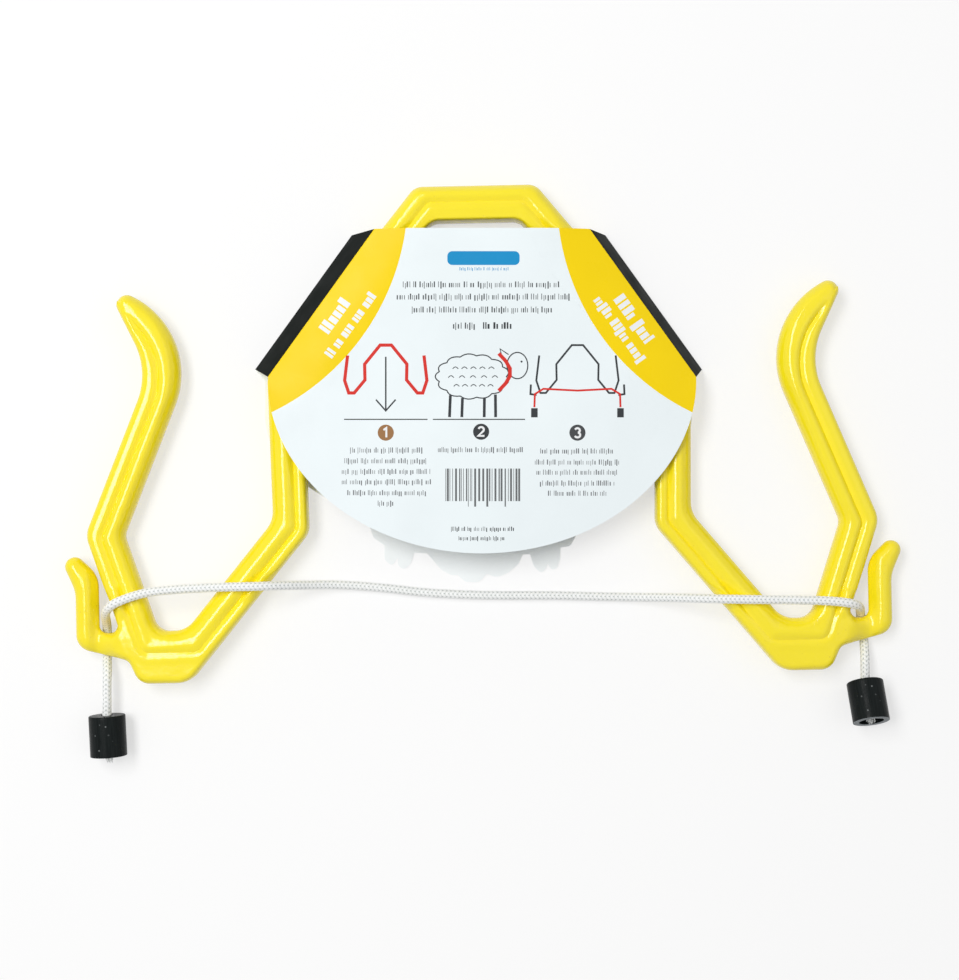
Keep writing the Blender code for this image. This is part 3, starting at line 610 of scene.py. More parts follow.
def triangulated(points, edges):
    """Plan points joined into triangles that all turn the same way, inside what the edges draw."""
    placed, _, faces, _, _, _ = delaunay_2d_cdt([Vector(p) for p in points], edges, [], 1, 1e-7)
    plan = np.array([tuple(p) for p in placed])
    faces = np.array([list(face) for face in faces])
    a, b, c = (plan[faces[:, k]] for k in range(3))
    turn = (b[:, 0] - a[:, 0]) * (c[:, 1] - a[:, 1]) - (b[:, 1] - a[:, 1]) * (c[:, 0] - a[:, 0])
    faces[turn < 0] = faces[turn < 0][:, ::-1]
    return plan, faces[np.abs(turn) > 1e-14]


def eased(height, faces, weight):
    """The heights, each drawn towards its neighbours' mean by its own weight."""
    pairs = np.concatenate([faces[:, [0, 1]], faces[:, [1, 2]], faces[:, [2, 0]]])
    count = np.maximum(np.bincount(pairs[:, 0], minlength=len(height)), 1)
    mean = np.bincount(pairs[:, 0], weights=height[pairs[:, 1]], minlength=len(height)) / count
    return height + weight * (mean - height)


def in_scene(name, data):
    """A new object of this data, in the scene."""
    made = bpy.data.objects.new(name, data)
    bpy.context.scene.collection.objects.link(made)
    return made


def smooth_object(name, vertices, faces):
    """A smooth-shaded object made of these vertices and faces."""
    mesh = bpy.data.meshes.new(name)
    mesh.from_pydata([tuple(v) for v in vertices], [], [tuple(f) for f in faces])
    mesh.validate()
    mesh.shade_smooth()
    return in_scene(name, mesh)


def frame_points(shape, groove, outline, crease):
    """Points inside the frame's outline: rows along its rim and its groove, and a lattice between them."""
    near = FINE_RUN * 0.5
    rim = np.concatenate([moved_row(outline, True, -depth, shape) for depth in RIM_ROWS])
    rim = rim[distance_to(groove, rim, closed=False) > near]
    beads = np.concatenate([moved_row(crease, False, distance, shape) for distance in GROOVE_ROWS])
    fill = lattice((0.0, PAD_Y), (HOOK_WALL_X + HOOK_WIDTH + HOOK_TIP_RADIUS, -PAD_Y), FINE_RUN)
    fill = fill[inside(shape, fill)]
    fill = fill[distance_to(shape, fill) > RIM_ROWS[-1] + near]
    offset, along = offset_from(groove, fill).T
    past_end = (along < 1e-9) | (along > offset_from(groove, [groove[-1]])[0, 1] - 1e-9)
    beyond = (offset < GROOVE_ROWS[0] - near) | (offset > GROOVE_ROWS[-1] + near)
    fill = fill[beyond | (past_end & (np.abs(offset) > FINE_RUN * 0.7))]
    return [tuple(p) for p in np.concatenate([rim, beads, fill])]


def make_frame(look):
    """The yellow moulding, with its beads, groove, hooks and parting line."""
    shape = contour(FINE_TURN, with_hook=True)
    body = contour(FINE_TURN, with_hook=False)
    groove = groove_line(FINE_TURN)
    outline = spread(shape, FINE_RUN, closed=True)
    crease = spread(groove, FINE_RUN)
    edges = ring_edges(outline)
    edges += [(len(outline) + k, len(outline) + k + 1) for k in range(len(crease) - 1)]
    plan, faces = triangulated(outline + crease + frame_points(shape, groove, outline, crease), edges)
    plan[:, 0] = np.clip(plan[:, 0], cad_box[0][0], cad_box[1][0])

    depth = distance_to(shape, plan)
    border = (depth < 1e-6) | (np.abs(plan[:, 0]) >= cad_box[1][0] - 1e-7)
    weight = SMOOTHING * np.clip((depth - SMOOTHED_FROM) / SMOOTHED_OVER, 0.0, 1.0)
    height, drop = (
        np.where(border, 0.0, eased(np.maximum(side, PARTING_LIP), faces, weight))
        for side in half_heights(plan, shape, body, groove)
    )
    # The back shares the front's points along the border and has its own elsewhere
    below = np.full(len(plan), -1)
    below[border] = np.nonzero(border)[0]
    below[~border] = len(plan) + np.arange((~border).sum())
    front = np.column_stack([plan, FRAME_MIDDLE + height])
    back = np.column_stack([plan, FRAME_MIDDLE - drop])[~border]
    faces = np.concatenate([faces, below[faces][:, ::-1]])
    made = smooth_object("moulded_frame", np.concatenate([front, back]), faces)
    made.data.materials.append(look)
    in_groove = distance_to(groove, plan, closed=False) < 1e-6
    in_groove = np.concatenate([in_groove, in_groove[~border]])
    ends = np.empty(len(made.data.edges) * 2, int)
    made.data.edges.foreach_get("vertices", ends)
    made.data.edges.foreach_set("use_edge_sharp", in_groove[ends.reshape(-1, 2)].all(axis=1))
    return made


# Nodes and materials


def feed(tree, socket, value):
    """A socket linked to another one, or set to a number, a vector or a colour."""
    if isinstance(value, bpy.types.NodeSocket):
        tree.links.new(value, socket)
    elif isinstance(value, tuple) and len(value) < len(socket.default_value):
        socket.default_value = (*value, 1.0)
    else:
        socket.default_value = value


def fill_in(tree, made, **inputs):
    """A node with its inputs set or linked by name."""
    for key, value in inputs.items():
        feed(tree, made.inputs[key.replace("_", " ")], value)
    return made


def node(tree, kind, settings=None, **inputs):
    """A new shader node with its settings and inputs."""
    made = tree.nodes.new(kind)
    for key, value in (settings or {}).items():
        setattr(made, key, value)
    return fill_in(tree, made, **inputs)


def local(tree, stretch=(1.0, 1.0, 1.0)):
    """The piece's own coordinates in metres, stretched along each axis."""
    coordinates = node(tree, "ShaderNodeTexCoord").outputs["Object"]
    return node(tree, "ShaderNodeMapping", Vector=coordinates, Scale=stretch).outputs["Vector"]


def noise(tree, where, size, detail=2.0, roughness=0.5):
    """Soft noise whose blotches are about this size."""
    made = node(tree, "ShaderNodeTexNoise", Vector=where, Scale=1 / size, Detail=detail, Roughness=roughness)
    return made.outputs["Fac"]


def between(tree, value, low, high, start=0.0, end=1.0):
    """The value's place between low and high, turned into a number from start to end."""
    limits = {"From Min": low, "From Max": high, "To Min": start, "To Max": end}
    return node(tree, "ShaderNodeMapRange", Value=value, **limits).outputs["Result"]


def maths(tree, kind, first, second):
    """One sum of two numbers or sockets."""
    made = node(tree, "ShaderNodeMath", {"operation": kind})
    for socket, value in zip(made.inputs, (first, second)):
        feed(tree, socket, value)
    return made.outputs[0]


def blended(tree, share, first, second):
    """Two colours mixed by a share."""
    made = node(tree, "ShaderNodeMix", {"data_type": "RGBA"})
    for k, value in ((0, share), (6, first), (7, second)):
        feed(tree, made.inputs[k], value)
    return made.outputs[2]


def specks(tree, where, size, radius):
    """Small round marks, one at most in each cell of this size."""
    cells = node(tree, "ShaderNodeTexVoronoi", Vector=where, Scale=1 / size).outputs["Distance"]
    return between(tree, cells, radius, radius * 0.6)


def bumped(tree, height, depth, **below):
    """A normal that follows a height of this depth in metres, on top of the Normal below it, if any."""
    made = node(tree, "ShaderNodeBump", Height=height, Distance=depth, Strength=1.0, **below)
    return made.outputs["Normal"]


def new_material(name):
    """An empty Principled material: itself, its node tree and its shader."""
    made = bpy.data.materials.new(name)
    made.use_nodes = True
    return made, made.node_tree, made.node_tree.nodes["Principled BSDF"]


def yellow_plastic():
    """Glossy moulded plastic: two close yellows, a faint orange peel, small pits and pale scuffs."""
    made, tree, shader = new_material("yellow_plastic")
    where = local(tree)
    mottle = between(tree, noise(tree, where, 0.034, 3.0), 0.35, 0.65)
    colour = blended(tree, mottle, (0.985, 0.82, 0.012), (0.975, 0.795, 0.010))
    streaks = noise(tree, local(tree, (1.0, 0.16, 0.4)), 0.0011, 3.0, 0.7)
    patch = between(tree, noise(tree, where, 0.017, 2.0), 0.52, 0.68)
    scuffs = maths(tree, "MULTIPLY", between(tree, streaks, 0.64, 0.72), patch)
    colour = blended(tree, maths(tree, "MULTIPLY", scuffs, 0.4), colour, (0.98, 0.88, 0.26))
    pits = maths(tree, "MULTIPLY", specks(tree, where, 0.0042, 0.11), between(tree, mottle, 0.3, 0.8))
    colour = blended(tree, maths(tree, "MULTIPLY", pits, 0.35), colour, (0.62, 0.45, 0.03))
    rough = maths(tree, "ADD", between(tree, noise(tree, where, 0.009, 4.0), 0.3, 0.7, 0.13, 0.20),
                  maths(tree, "MULTIPLY", scuffs, 0.22))
    peel = bumped(tree, noise(tree, where, 0.0038, 2.0), 0.00011)
    grain = bumped(tree, noise(tree, where, 0.0006, 2.0), 0.000012, Normal=peel)
    grain = bumped(tree, maths(tree, "MULTIPLY", pits, -1.0), 0.00006, Normal=grain)
    fill_in(tree, shader, Base_Color=colour, Roughness=rough, Normal=grain, IOR=1.5)
    return made


def white_braid():
    """White polyester: bright ribs, grey-green painted shade in the clefts between them, and a tan tint near
    the frame's slots, painted for the yellow light the frame throws back and for rub dirt.
    """
    made, tree, shader = new_material("white_braid")
    where = local(tree)
    cleft, stain = (node(tree, "ShaderNodeAttribute", {"attribute_name": name}).outputs["Fac"]
                    for name in ("cleft", "stain"))
    tint = between(tree, noise(tree, where, 0.02), 0.35, 0.65)
    colour = blended(tree, tint, (0.965, 0.975, 0.97), (0.94, 0.955, 0.945))
    # Painted shade: the clefts between the ribs darkened to grey-green
    colour = blended(tree, between(tree, cleft, 0.1, 1.0, 0.0, 0.85), colour, (0.26, 0.31, 0.28))
    # Painted yellow bounce light from the frame, with some rub dirt: a tan tint near the slots
    colour = blended(tree, maths(tree, "MULTIPLY", stain, 0.5), colour, (0.93, 0.76, 0.42))
    fibre = noise(tree, where, 0.00022, 3.0)
    fill_in(tree, shader, Base_Color=colour, Roughness=between(tree, fibre, 0.3, 0.7, 0.55, 0.8),
            Normal=bumped(tree, fibre, 0.00006), Sheen_Weight=0.25)
    return made


def black_plastic(name, tone, roughness, specular):
    """Black moulded plastic, duller in patches, with fine drag marks along it and a few pale nicks."""
    made, tree, shader = new_material(name)
    where = local(tree)
    drag = noise(tree, local(tree, (1.0, 1.0, 0.06)), 0.0007, 3.0, 0.6)
    patch = noise(tree, where, 0.006, 3.0)
    colour = blended(tree, between(tree, drag, 0.35, 0.7), tone, tuple(c * 1.7 + 0.004 for c in tone))
    nick = maths(tree, "MULTIPLY", specks(tree, where, 0.0036, 0.16), between(tree, patch, 0.5, 0.62))
    colour = blended(tree, maths(tree, "MULTIPLY", nick, 0.6), colour, (0.33, 0.35, 0.35))
    rough = maths(tree, "ADD", between(tree, patch, 0.3, 0.7, roughness - 0.06, roughness + 0.08),
                  maths(tree, "MULTIPLY", nick, 0.3))
    grain = bumped(tree, noise(tree, where, 0.0012, 3.0), 0.00005, Normal=bumped(tree, drag, 0.00005))
    fill_in(tree, shader, Base_Color=colour, Roughness=rough, Normal=grain, Specular_IOR_Level=specular)
    return made


def printed_paper(name, ink, roughness, specular):
    """Coated card with one ink on it: a little uneven, with a faint paper grain under the gloss."""
    made, tree, shader = new_material(name)
    where = local(tree)
    tint = between(tree, noise(tree, where, 0.05, 3.0), 0.35, 0.65)
    grain = noise(tree, where, 0.0009, 4.0, 0.6)
    waves = bumped(tree, noise(tree, where, 0.03, 1.0), 0.0006)
    gloss = between(tree, noise(tree, where, 0.012, 3.0), 0.3, 0.7, roughness - 0.05, roughness + 0.07)
    fill_in(tree, shader, Base_Color=blended(tree, tint, ink, tuple(c * (1.0 - INK_WEAR) for c in ink)),
            Roughness=gloss, Normal=bumped(tree, grain, 0.00001, Normal=waves), Specular_IOR_Level=specular)
    return made


# The cord, its knots and its stoppers


def smooth_curve(route, pieces):
    """Points on a smooth curve through the route's own points, this many to each of its stretches."""
    ends = [2 * Vector(route[0]) - Vector(route[1]), 2 * Vector(route[-1]) - Vector(route[-2])]
    points = [ends[0], *map(Vector, route), ends[1]]
    line = []
    for four in zip(points, points[1:], points[2:], points[3:]):
        knots = [0.0]
        for start, end in zip(four, four[1:]):
            knots.append(knots[-1] + math.sqrt((end - start).length))
        for k in range(pieces):
            t = knots[1] + (knots[2] - knots[1]) * k / pieces
            level = four
            for spans in (((0, 1), (1, 2), (2, 3)), ((0, 2), (1, 3)), ((1, 2),)):
                level = [a.lerp(b, (t - knots[i]) / (knots[j] - knots[i]))
                         for a, b, (i, j) in zip(level, level[1:], spans)]
            line.append(level[0])
    return [*line, Vector(route[-1])]


def evenly(line, spacing):
    """A line's points again, this far apart along it."""
    points = np.array([tuple(p) for p in line])
    along = np.concatenate([[0.0], np.cumsum(np.linalg.norm(np.diff(points, axis=0), axis=1))])
    steps = np.linspace(0.0, along[-1], max(2, round(along[-1] / spacing)) + 1)
    return np.column_stack([np.interp(steps, along, points[:, k]) for k in range(3)]), steps


def carried_axes(points, first_side):
    """Two directions across a line at each of its points, carried along it without twist."""
    ahead = np.gradient(points, axis=0)
    ahead /= np.linalg.norm(ahead, axis=1)[:, None]
    side = np.array(first_side, float)
    sides = []
    for forward in ahead:
        side = side - forward * (side @ forward)
        side = side / np.linalg.norm(side)
        sides.append(side)
    sides = np.array(sides)
    return sides, np.cross(ahead, sides)


def ring_faces(rings, count, closed=False):
    """The faces between rings of this many points; closed joins the last ring to the first."""
    faces = []
    for k in range(rings if closed else rings - 1):
        low, high = k * count, (k + 1) % rings * count
        faces += [(low + j, low + (j + 1) % count, high + (j + 1) % count, high + j) for j in range(count)]
    return faces


def tube(points, count, radius, first_side=(0.0, 0.0, 1.0)):
    """The vertices and faces of a closed tube; radius gives a ring of radii at each point."""
    side, other = carried_axes(points, first_side)
    turn = np.arange(count) * 2 * math.pi / count
    rings = radius[:, :, None] * (
        np.cos(turn)[None, :, None] * side[:, None, :] + np.sin(turn)[None, :, None] * other[:, None, :]
    )
    last = (len(points) - 1) * count
    caps = [tuple(range(count - 1, -1, -1)), tuple(range(last, last + count))]
    return (points[:, None, :] + rings).reshape(-1, 3), ring_faces(len(points), count) + caps


def braid_radii(steps, radius, count):
    """Rings of radii for a braided tube, and each point's share of painted shade, from 0 to 1, darkest in the
    clefts.

    A thin seam parts each rib from the next, and a deeper notch lies where its ends meet a column's border.
    """
    turn = np.arange(count) / count * BRAID_COLUMNS
    column = np.floor(turn)
    across = turn - column
    lean = np.where(column % 2 == 0, BRAID_LEAN, -BRAID_LEAN)
    phase = steps[:, None] / BRAID_PITCH + (lean * (across - 0.5))[None, :]
    rib_edge = np.abs(2.0 * (phase - np.floor(phase)) - 1.0)
    border = np.abs(2.0 * across - 1.0)[None, :]
    seam = eased_step(rib_edge, 0.62, 1.0)
    notch = eased_step(rib_edge, 0.25, 0.85) * eased_step(border, 0.3, 0.95)
    # Painted shade, stronger in the notches than along the seams
    cleft = np.maximum(0.45 * seam, notch)
    low = 0.35 * rib_edge**3 + 0.25 * border**4 + 0.5 * notch
    return radius * (1.0 - BRAID_DEPTH * np.minimum(low, 1.0)), cleft


def joined(parts):
    """Several (vertices, faces) parts as one."""
    vertices, faces, start = [], [], 0
    for some, more in parts:
        vertices.append(some)
        faces += [tuple(k + start for k in face) for face in more]
        start += len(some)
    return np.concatenate(vertices), faces


def with_values(made, **values):
    """An object with these point values, which its material reads."""
    for name, value in values.items():
        layer = made.data.attributes.new(name, "FLOAT", "POINT")
        layer.data.foreach_set("value", np.asarray(value, np.float32))
    return made


def through_bore(end, aim, cord_aim):
    """The cord's last point, just beyond the middle of a stopper's bore, where the cord crosses its axis."""
    middle = Vector(end) + Vector(aim).normalized() * (STOPPER_FLOOR / 2)
    return tuple(middle + Vector(cord_aim).normalized() * CORD_END_IN_BORE)


def make_cord(look):
    """The braided cord, knot to knot, and its centreline."""
    left, right = (through_bore(*end[:3]) for end in CORD_ENDS.values())
    points, steps = evenly(smooth_curve([left, *CORD_ROUTE, right], 24), CORD_STEP)
    # Each point also gets its share of painted shade, darkest in the braid's clefts
    radius, cleft = braid_radii(steps, CORD_DIAMETER / 2, CORD_SIDES)
    made = smooth_object("braided_cord", *tube(points, CORD_SIDES, radius))
    # A tan tint near each slot: painted yellow bounce light from the frame, with some rub dirt
    reach = np.minimum(*[np.linalg.norm(points - np.array(place), axis=1) for place in DIRT_AND_BOUNCE_SPOTS])
    stain = np.repeat(np.clip(1.0 - reach / DIRT_AND_BOUNCE_REACH, 0.0, 1.0), CORD_SIDES)
    with_values(made, cleft=cleft.ravel(), stain=stain)
    made.data.materials.append(look)
    return made, points


def placed_on(made, end, aim):
    """The object set on a stopper's axis, from its closed end."""
    made.rotation_mode = "QUATERNION"
    made.location = end
    made.rotation_quaternion = Vector(aim).to_track_quat("Z", "Y")
    return made


def make_knot(name, end, aim, fray, seed, look):
    """A tight overhand knot seated in its stopper, with the cord's cut end frayed beyond it."""
    draw = random.Random(seed)
    seat = STOPPER_FLOOR + GAP
    thick = CORD_DIAMETER / 2 * KNOT_SQUEEZE
    top = seat + KNOT_LENGTH
    parts = []
    clefts = []

    def add(line):
        points, steps = evenly(smooth_curve(line, 10), 0.0003)
        # The knot's braid carries painted shade in its clefts, as the cord does
        rings, cleft = braid_radii(steps, thick, 24)
        parts.append(tube(points, 24, rings, (1.0, 0.0, 0.0)))
        clefts.append(cleft.ravel())

    reach = KNOT_RADIUS - thick
    wrap = []
    for share in (k / 18 for k in range(19)):
        angle = 2 * math.pi * KNOT_TURNS * share
        drawn_in = 1.0 - 0.55 * max(0.0, 1.0 - share * 6) - 0.5 * max(0.0, share * 6 - 5)
        height = top - thick - (KNOT_LENGTH - 2 * thick) * share
        wrap.append((reach * drawn_in * math.cos(angle), reach * drawn_in * math.sin(angle), height))
    add([(0.0, 0.0, seat + 0.0002), (0.0003, 0.0, seat + 0.004), (-0.0002, 0.0002, top - 0.002),
         (0.0, 0.0, top + 0.0018)])
    add(wrap)
    for k in range(STRAND_COUNT):
        angle = draw.uniform(0.0, 2 * math.pi)
        out = math.sqrt(draw.random()) * thick * 0.85
        splay = draw.uniform(0.9, 1.55) if k % 6 else draw.uniform(1.6, 2.2)
        length = fray * draw.uniform(0.72, 1.0)
        sway = draw.uniform(-0.5, 0.5)
        line = []
        for share in (step / 4 for step in range(5)):
            wide = out * (1.0 + (splay - 1.0) * share**2)
            line.append((wide * math.cos(angle + sway * share), wide * math.sin(angle + sway * share),
                         top + 0.0012 + (length - 0.0012) * share))
        points, _ = evenly(smooth_curve(line, 3), 0.0008)
        thin = np.full((len(points), 5), STRAND_RADIUS) * np.linspace(1.0, 0.55, len(points))[:, None]
        parts.append(tube(points, 5, thin, (1.0, 0.0, 0.0)))
        # The frayed strands carry an even share of painted shade
        clefts.append(np.full(len(points) * 5, 0.3))
    made = smooth_object(name, *joined(parts))
    with_values(made, cleft=np.concatenate(clefts), stain=np.zeros(len(made.data.vertices)))
    made.data.materials.append(look)
    return placed_on(made, end, aim)


def make_stopper(name, end, aim, wall, rim):
    """A short black cup: a bored floor towards the frame and an open mouth, with its edges broken."""
    bore = CORD_DIAMETER / 2 + CORD_BORE_CLEARANCE
    inner = STOPPER_RADIUS - STOPPER_WALL
    corners = [
        (bore, 0.0, 0.0005),
        (STOPPER_RADIUS, 0.0, 0.0007),
        (STOPPER_RADIUS, STOPPER_LENGTH, 0.00025),
        (inner, STOPPER_LENGTH, 0.0003),
        (inner, STOPPER_FLOOR, 0.0012),
        (bore, STOPPER_FLOOR, 0.0005),
    ]
    profile = spread(rounded(corners, 18.0), 0.0011, closed=True)
    turn = np.arange(STOPPER_SIDES) * 2 * math.pi / STOPPER_SIDES
    vertices = []
    for radius, along in profile:
        wobble = STOPPER_OUTSIDE - STOPPER_WAVER * (1.0 + np.sin(3 * turn + 0.7)) if radius > inner else 1.0
        vertices.append(np.column_stack([radius * wobble * np.cos(turn), radius * wobble * np.sin(turn),
                                         np.full(STOPPER_SIDES, along)]))
    faces = ring_faces(len(profile), STOPPER_SIDES, closed=True)
    made = smooth_object(name, np.concatenate(vertices), faces)
    made.data.materials.append(wall)
    made.data.materials.append(rim)
    for face in made.data.polygons:
        if face.center.z > STOPPER_LENGTH - 0.0002:
            face.material_index = 1
    return placed_on(made, end, aim)


# The card sleeve, and its print, which is given in millimetres in the card's own axes

MM = 0.001
FOLD_SLOPE = toward((CARD_TOP_HALF_WIDTH, CARD_RISE), (CARD_HALF_WIDTH, 0.0))
FOLD_OUT = (-FOLD_SLOPE[1], FOLD_SLOPE[0])
LEAVES = ((-167.5, 96.4, 128.0), (166.6, 95.3, 126.7))
FOLD_STEPS = [k / 24 for k in range(25)]
# How far round its folds a spine shows the front's yellow and the back's white, as shares of the folds' radii
FOLD_YELLOW = 0.22
FOLD_WHITE = 0.3
# The spacing of the points that fill each panel, and how far they keep from its outline
FRONT_FILL = (0.005, 0.0015)
BACK_FILL = (0.008, 0.002)
CREASE_ANGLE = 35.0
WELD_REACH = 0.00001
PRINT_REACH = 0.002
DRAWING_X = (-51.3, -0.5, 50.8)
DRAWING_SCALE = 1.17


def card_point(x, y, z):
    """A point of the card, given in the card's own axes."""
    turned = Matrix.Rotation(math.radians(CARD_TURN), 2) @ Vector((x, y))
    return (CARD_MIDDLE[0] + turned.x, CARD_MIDDLE[1] + turned.y, z)


def back_flank(x):
    """The point of the back panel's lower edge at x, beside its scallops."""
    bow = math.sqrt(max(0.0, 1.0 - (x / BACK_SIDE_X) ** 2))
    return (x, -BACK_SIDE_DROP - (BACK_DROP - BACK_SIDE_DROP) * bow)


def box(x0, y0, x1, y1):
    """A rectangle's corners."""
    return [(x0, y0), (x1, y0), (x1, y1), (x0, y1)]


def swung(points, angle, centre):
    """Points turned about the origin by degrees, then moved to a centre."""
    c, s = unit(angle)
    return [(centre[0] + x * c - y * s, centre[1] + x * s + y * c) for x, y in points]


def ring_of(centre, width, height, count=40):
    """An ellipse's points."""
    turns = [2 * math.pi * k / count for k in range(count)]
    return [(centre[0] + width / 2 * math.cos(t), centre[1] + height / 2 * math.sin(t)) for t in turns]


def stroke(points, width, closed=False):
    """The loops that bound a drawn line of this width."""
    count = len(points)
    left, right = [], []
    for k in range(count):
        before = points[k - 1] if closed or k else None
        after = points[(k + 1) % count] if closed or k < count - 1 else None
        into = toward(before, points[k]) if before else toward(points[k], after)
        out = toward(points[k], after) if after else into
        mean = (into[0] + out[0], into[1] + out[1])
        size = math.hypot(*mean)
        mean = (mean[0] / size, mean[1] / size)
        reach = width / 2 / max(0.5, mean[0] * into[0] + mean[1] * into[1])
        left.append(beside(points[k], mean, reach))
        right.append(beside(points[k], mean, -reach))
    return [left, right] if closed else [left + right[::-1]]


def block_line(draw, centre, width, size, angle=0.0, bars=(0.15, 0.18, 0.3), gaps=(0.22, 0.26, 0.36)):
    """A line of small plain blocks, in groups of a few, turned about its middle."""
    loops = []
    x = -width / 2
    left_in_group = draw.randint(2, 8)
    while x < width / 2 - size * 0.3:
        wide = size * draw.choice(bars)
        tall = size * draw.choice((1.0, 1.0, 1.0, 1.36, 1.36))
        low = -size * draw.choice((0.0, 0.0, 0.0, 0.0, 0.3))
        block = box(x, low - size / 2, min(x + wide, width / 2), tall - size / 2)
        loops.append([swung(block, angle, centre)])
        x += wide + size * draw.choice(gaps)
        left_in_group -= 1
        if not left_in_group:
            left_in_group = draw.randint(2, 8)
            x += size * 0.5
    return loops


def restrainer_line():
    """The restrainer's own centreline, small, as the drawings show it."""
    half = [(x * 92.0, y * 92.0 + 3.0) for x, y in (*CENTRELINE[1:7], TIP)]
    return [(-x, y) for x, y in reversed(half)] + half


def fleece(centre, width, height, curls):
    """The bumpy outline of a sheep's body."""
    points = []
    for k in range(curls * 6):
        turn = 2 * math.pi * k / (curls * 6)
        swell = 1.0 + 0.09 * abs(math.sin(turn * curls / 2))
        points.append((centre[0] + width / 2 * swell * math.cos(turn),
                       centre[1] + height / 2 * swell * math.sin(turn)))
    return points


def first_drawing():
    """The restrainer by itself, with an arrow to where it goes."""
    dark = [
        stroke([(0.0, 9.0), (0.0, -15.0)], 0.7),
        stroke([(-4.5, -10.5), (0.0, -15.6), (4.5, -10.5)], 0.7),
        stroke([(-19.0, -19.5), (19.0, -19.5)], 0.5),
    ]
    return [stroke(restrainer_line(), 1.5)], dark


def second_drawing():
    """A plain sheep seen from the side, with the restrainer over its neck."""
    dark = [
        stroke(fleece((-4.0, 0.0), 31.0, 19.0, 13), 0.55, closed=True),
        stroke(ring_of((16.5, 5.0), 9.5, 12.0, 26), 0.55, closed=True),
        stroke([(12.5, 10.0), (8.6, 12.6), (9.6, 8.6)], 0.5),
    ]
    for hip, high, hoof in ((-14.0, -8.5, -14.4), (-8.5, -9.8, -8.8), (1.5, -9.8, 1.4), (6.5, -8.2, 6.6)):
        dark.append(stroke([(hip, high), (hoof, -18.5)], 1.3))
    dark += [stroke([(-22.0, -19.5), (20.0, -19.5)], 0.5), [ring_of((18.4, 6.8), 1.0, 1.0, 10)]]
    for row, wide in ((3.5, 18.0), (-0.5, 22.0), (-4.5, 17.0)):
        for left in (-4.0 - wide / 2 + wide * k / 4.4 for k in range(5)):
            bow = [(left + 2.6 * t, row + 0.9 * math.sin(math.pi * t)) for t in (0, 0.25, 0.5, 0.75, 1)]
            dark.append(stroke(bow, 0.4))
    arch = [(8.0 + 5.4 * math.sin(math.pi * t), -6.5 + 17.0 * t) for t in (0, 0.2, 0.4, 0.6, 0.8, 1)]
    return [stroke(arch, 1.7)], dark


def third_drawing():
    """The cord drawn across the two hooks, with a cup at each end."""
    dark = [stroke(restrainer_line(), 0.9)]
    for side in (-1, 1):
        dark.append(stroke([(side * 18.6, -8.4), (side * 21.4, -8.0), (side * 21.2, -3.6)], 0.9))
        dark.append([box(side * 19.6 - 1.5, -18.6, side * 19.6 + 1.5, -14.4)])
    half = [(15.5, -5.6), (19.4, -8.0), (19.6, -14.0)]
    return [stroke([*[(-x, y) for x, y in half[::-1]], (0.0, -6.4), *half], 0.9)], dark


def number_lines(number):
    """A plain figure from 1 to 3 as drawn lines, about 5 high, round the origin."""
    if number == 1:
        return [[(-1.2, 1.4), (0.3, 2.5), (0.3, -2.5)]]
    bowl = [(1.45 * math.sin(t), 1.15 + 1.35 * math.cos(t)) for t in np.linspace(-1.3, 2.2, 9)]
    if number == 2:
        return [bowl + [(-1.55, -2.2), (1.75, -2.2)]]
    upper = [(1.3 * math.sin(t), 1.2 + 1.2 * math.cos(t)) for t in np.linspace(-1.2, 2.9, 10)]
    lower = [(1.5 * math.sin(t), -1.25 + 1.3 * math.cos(t)) for t in np.linspace(0.2, 4.3, 10)]
    return [upper, lower]


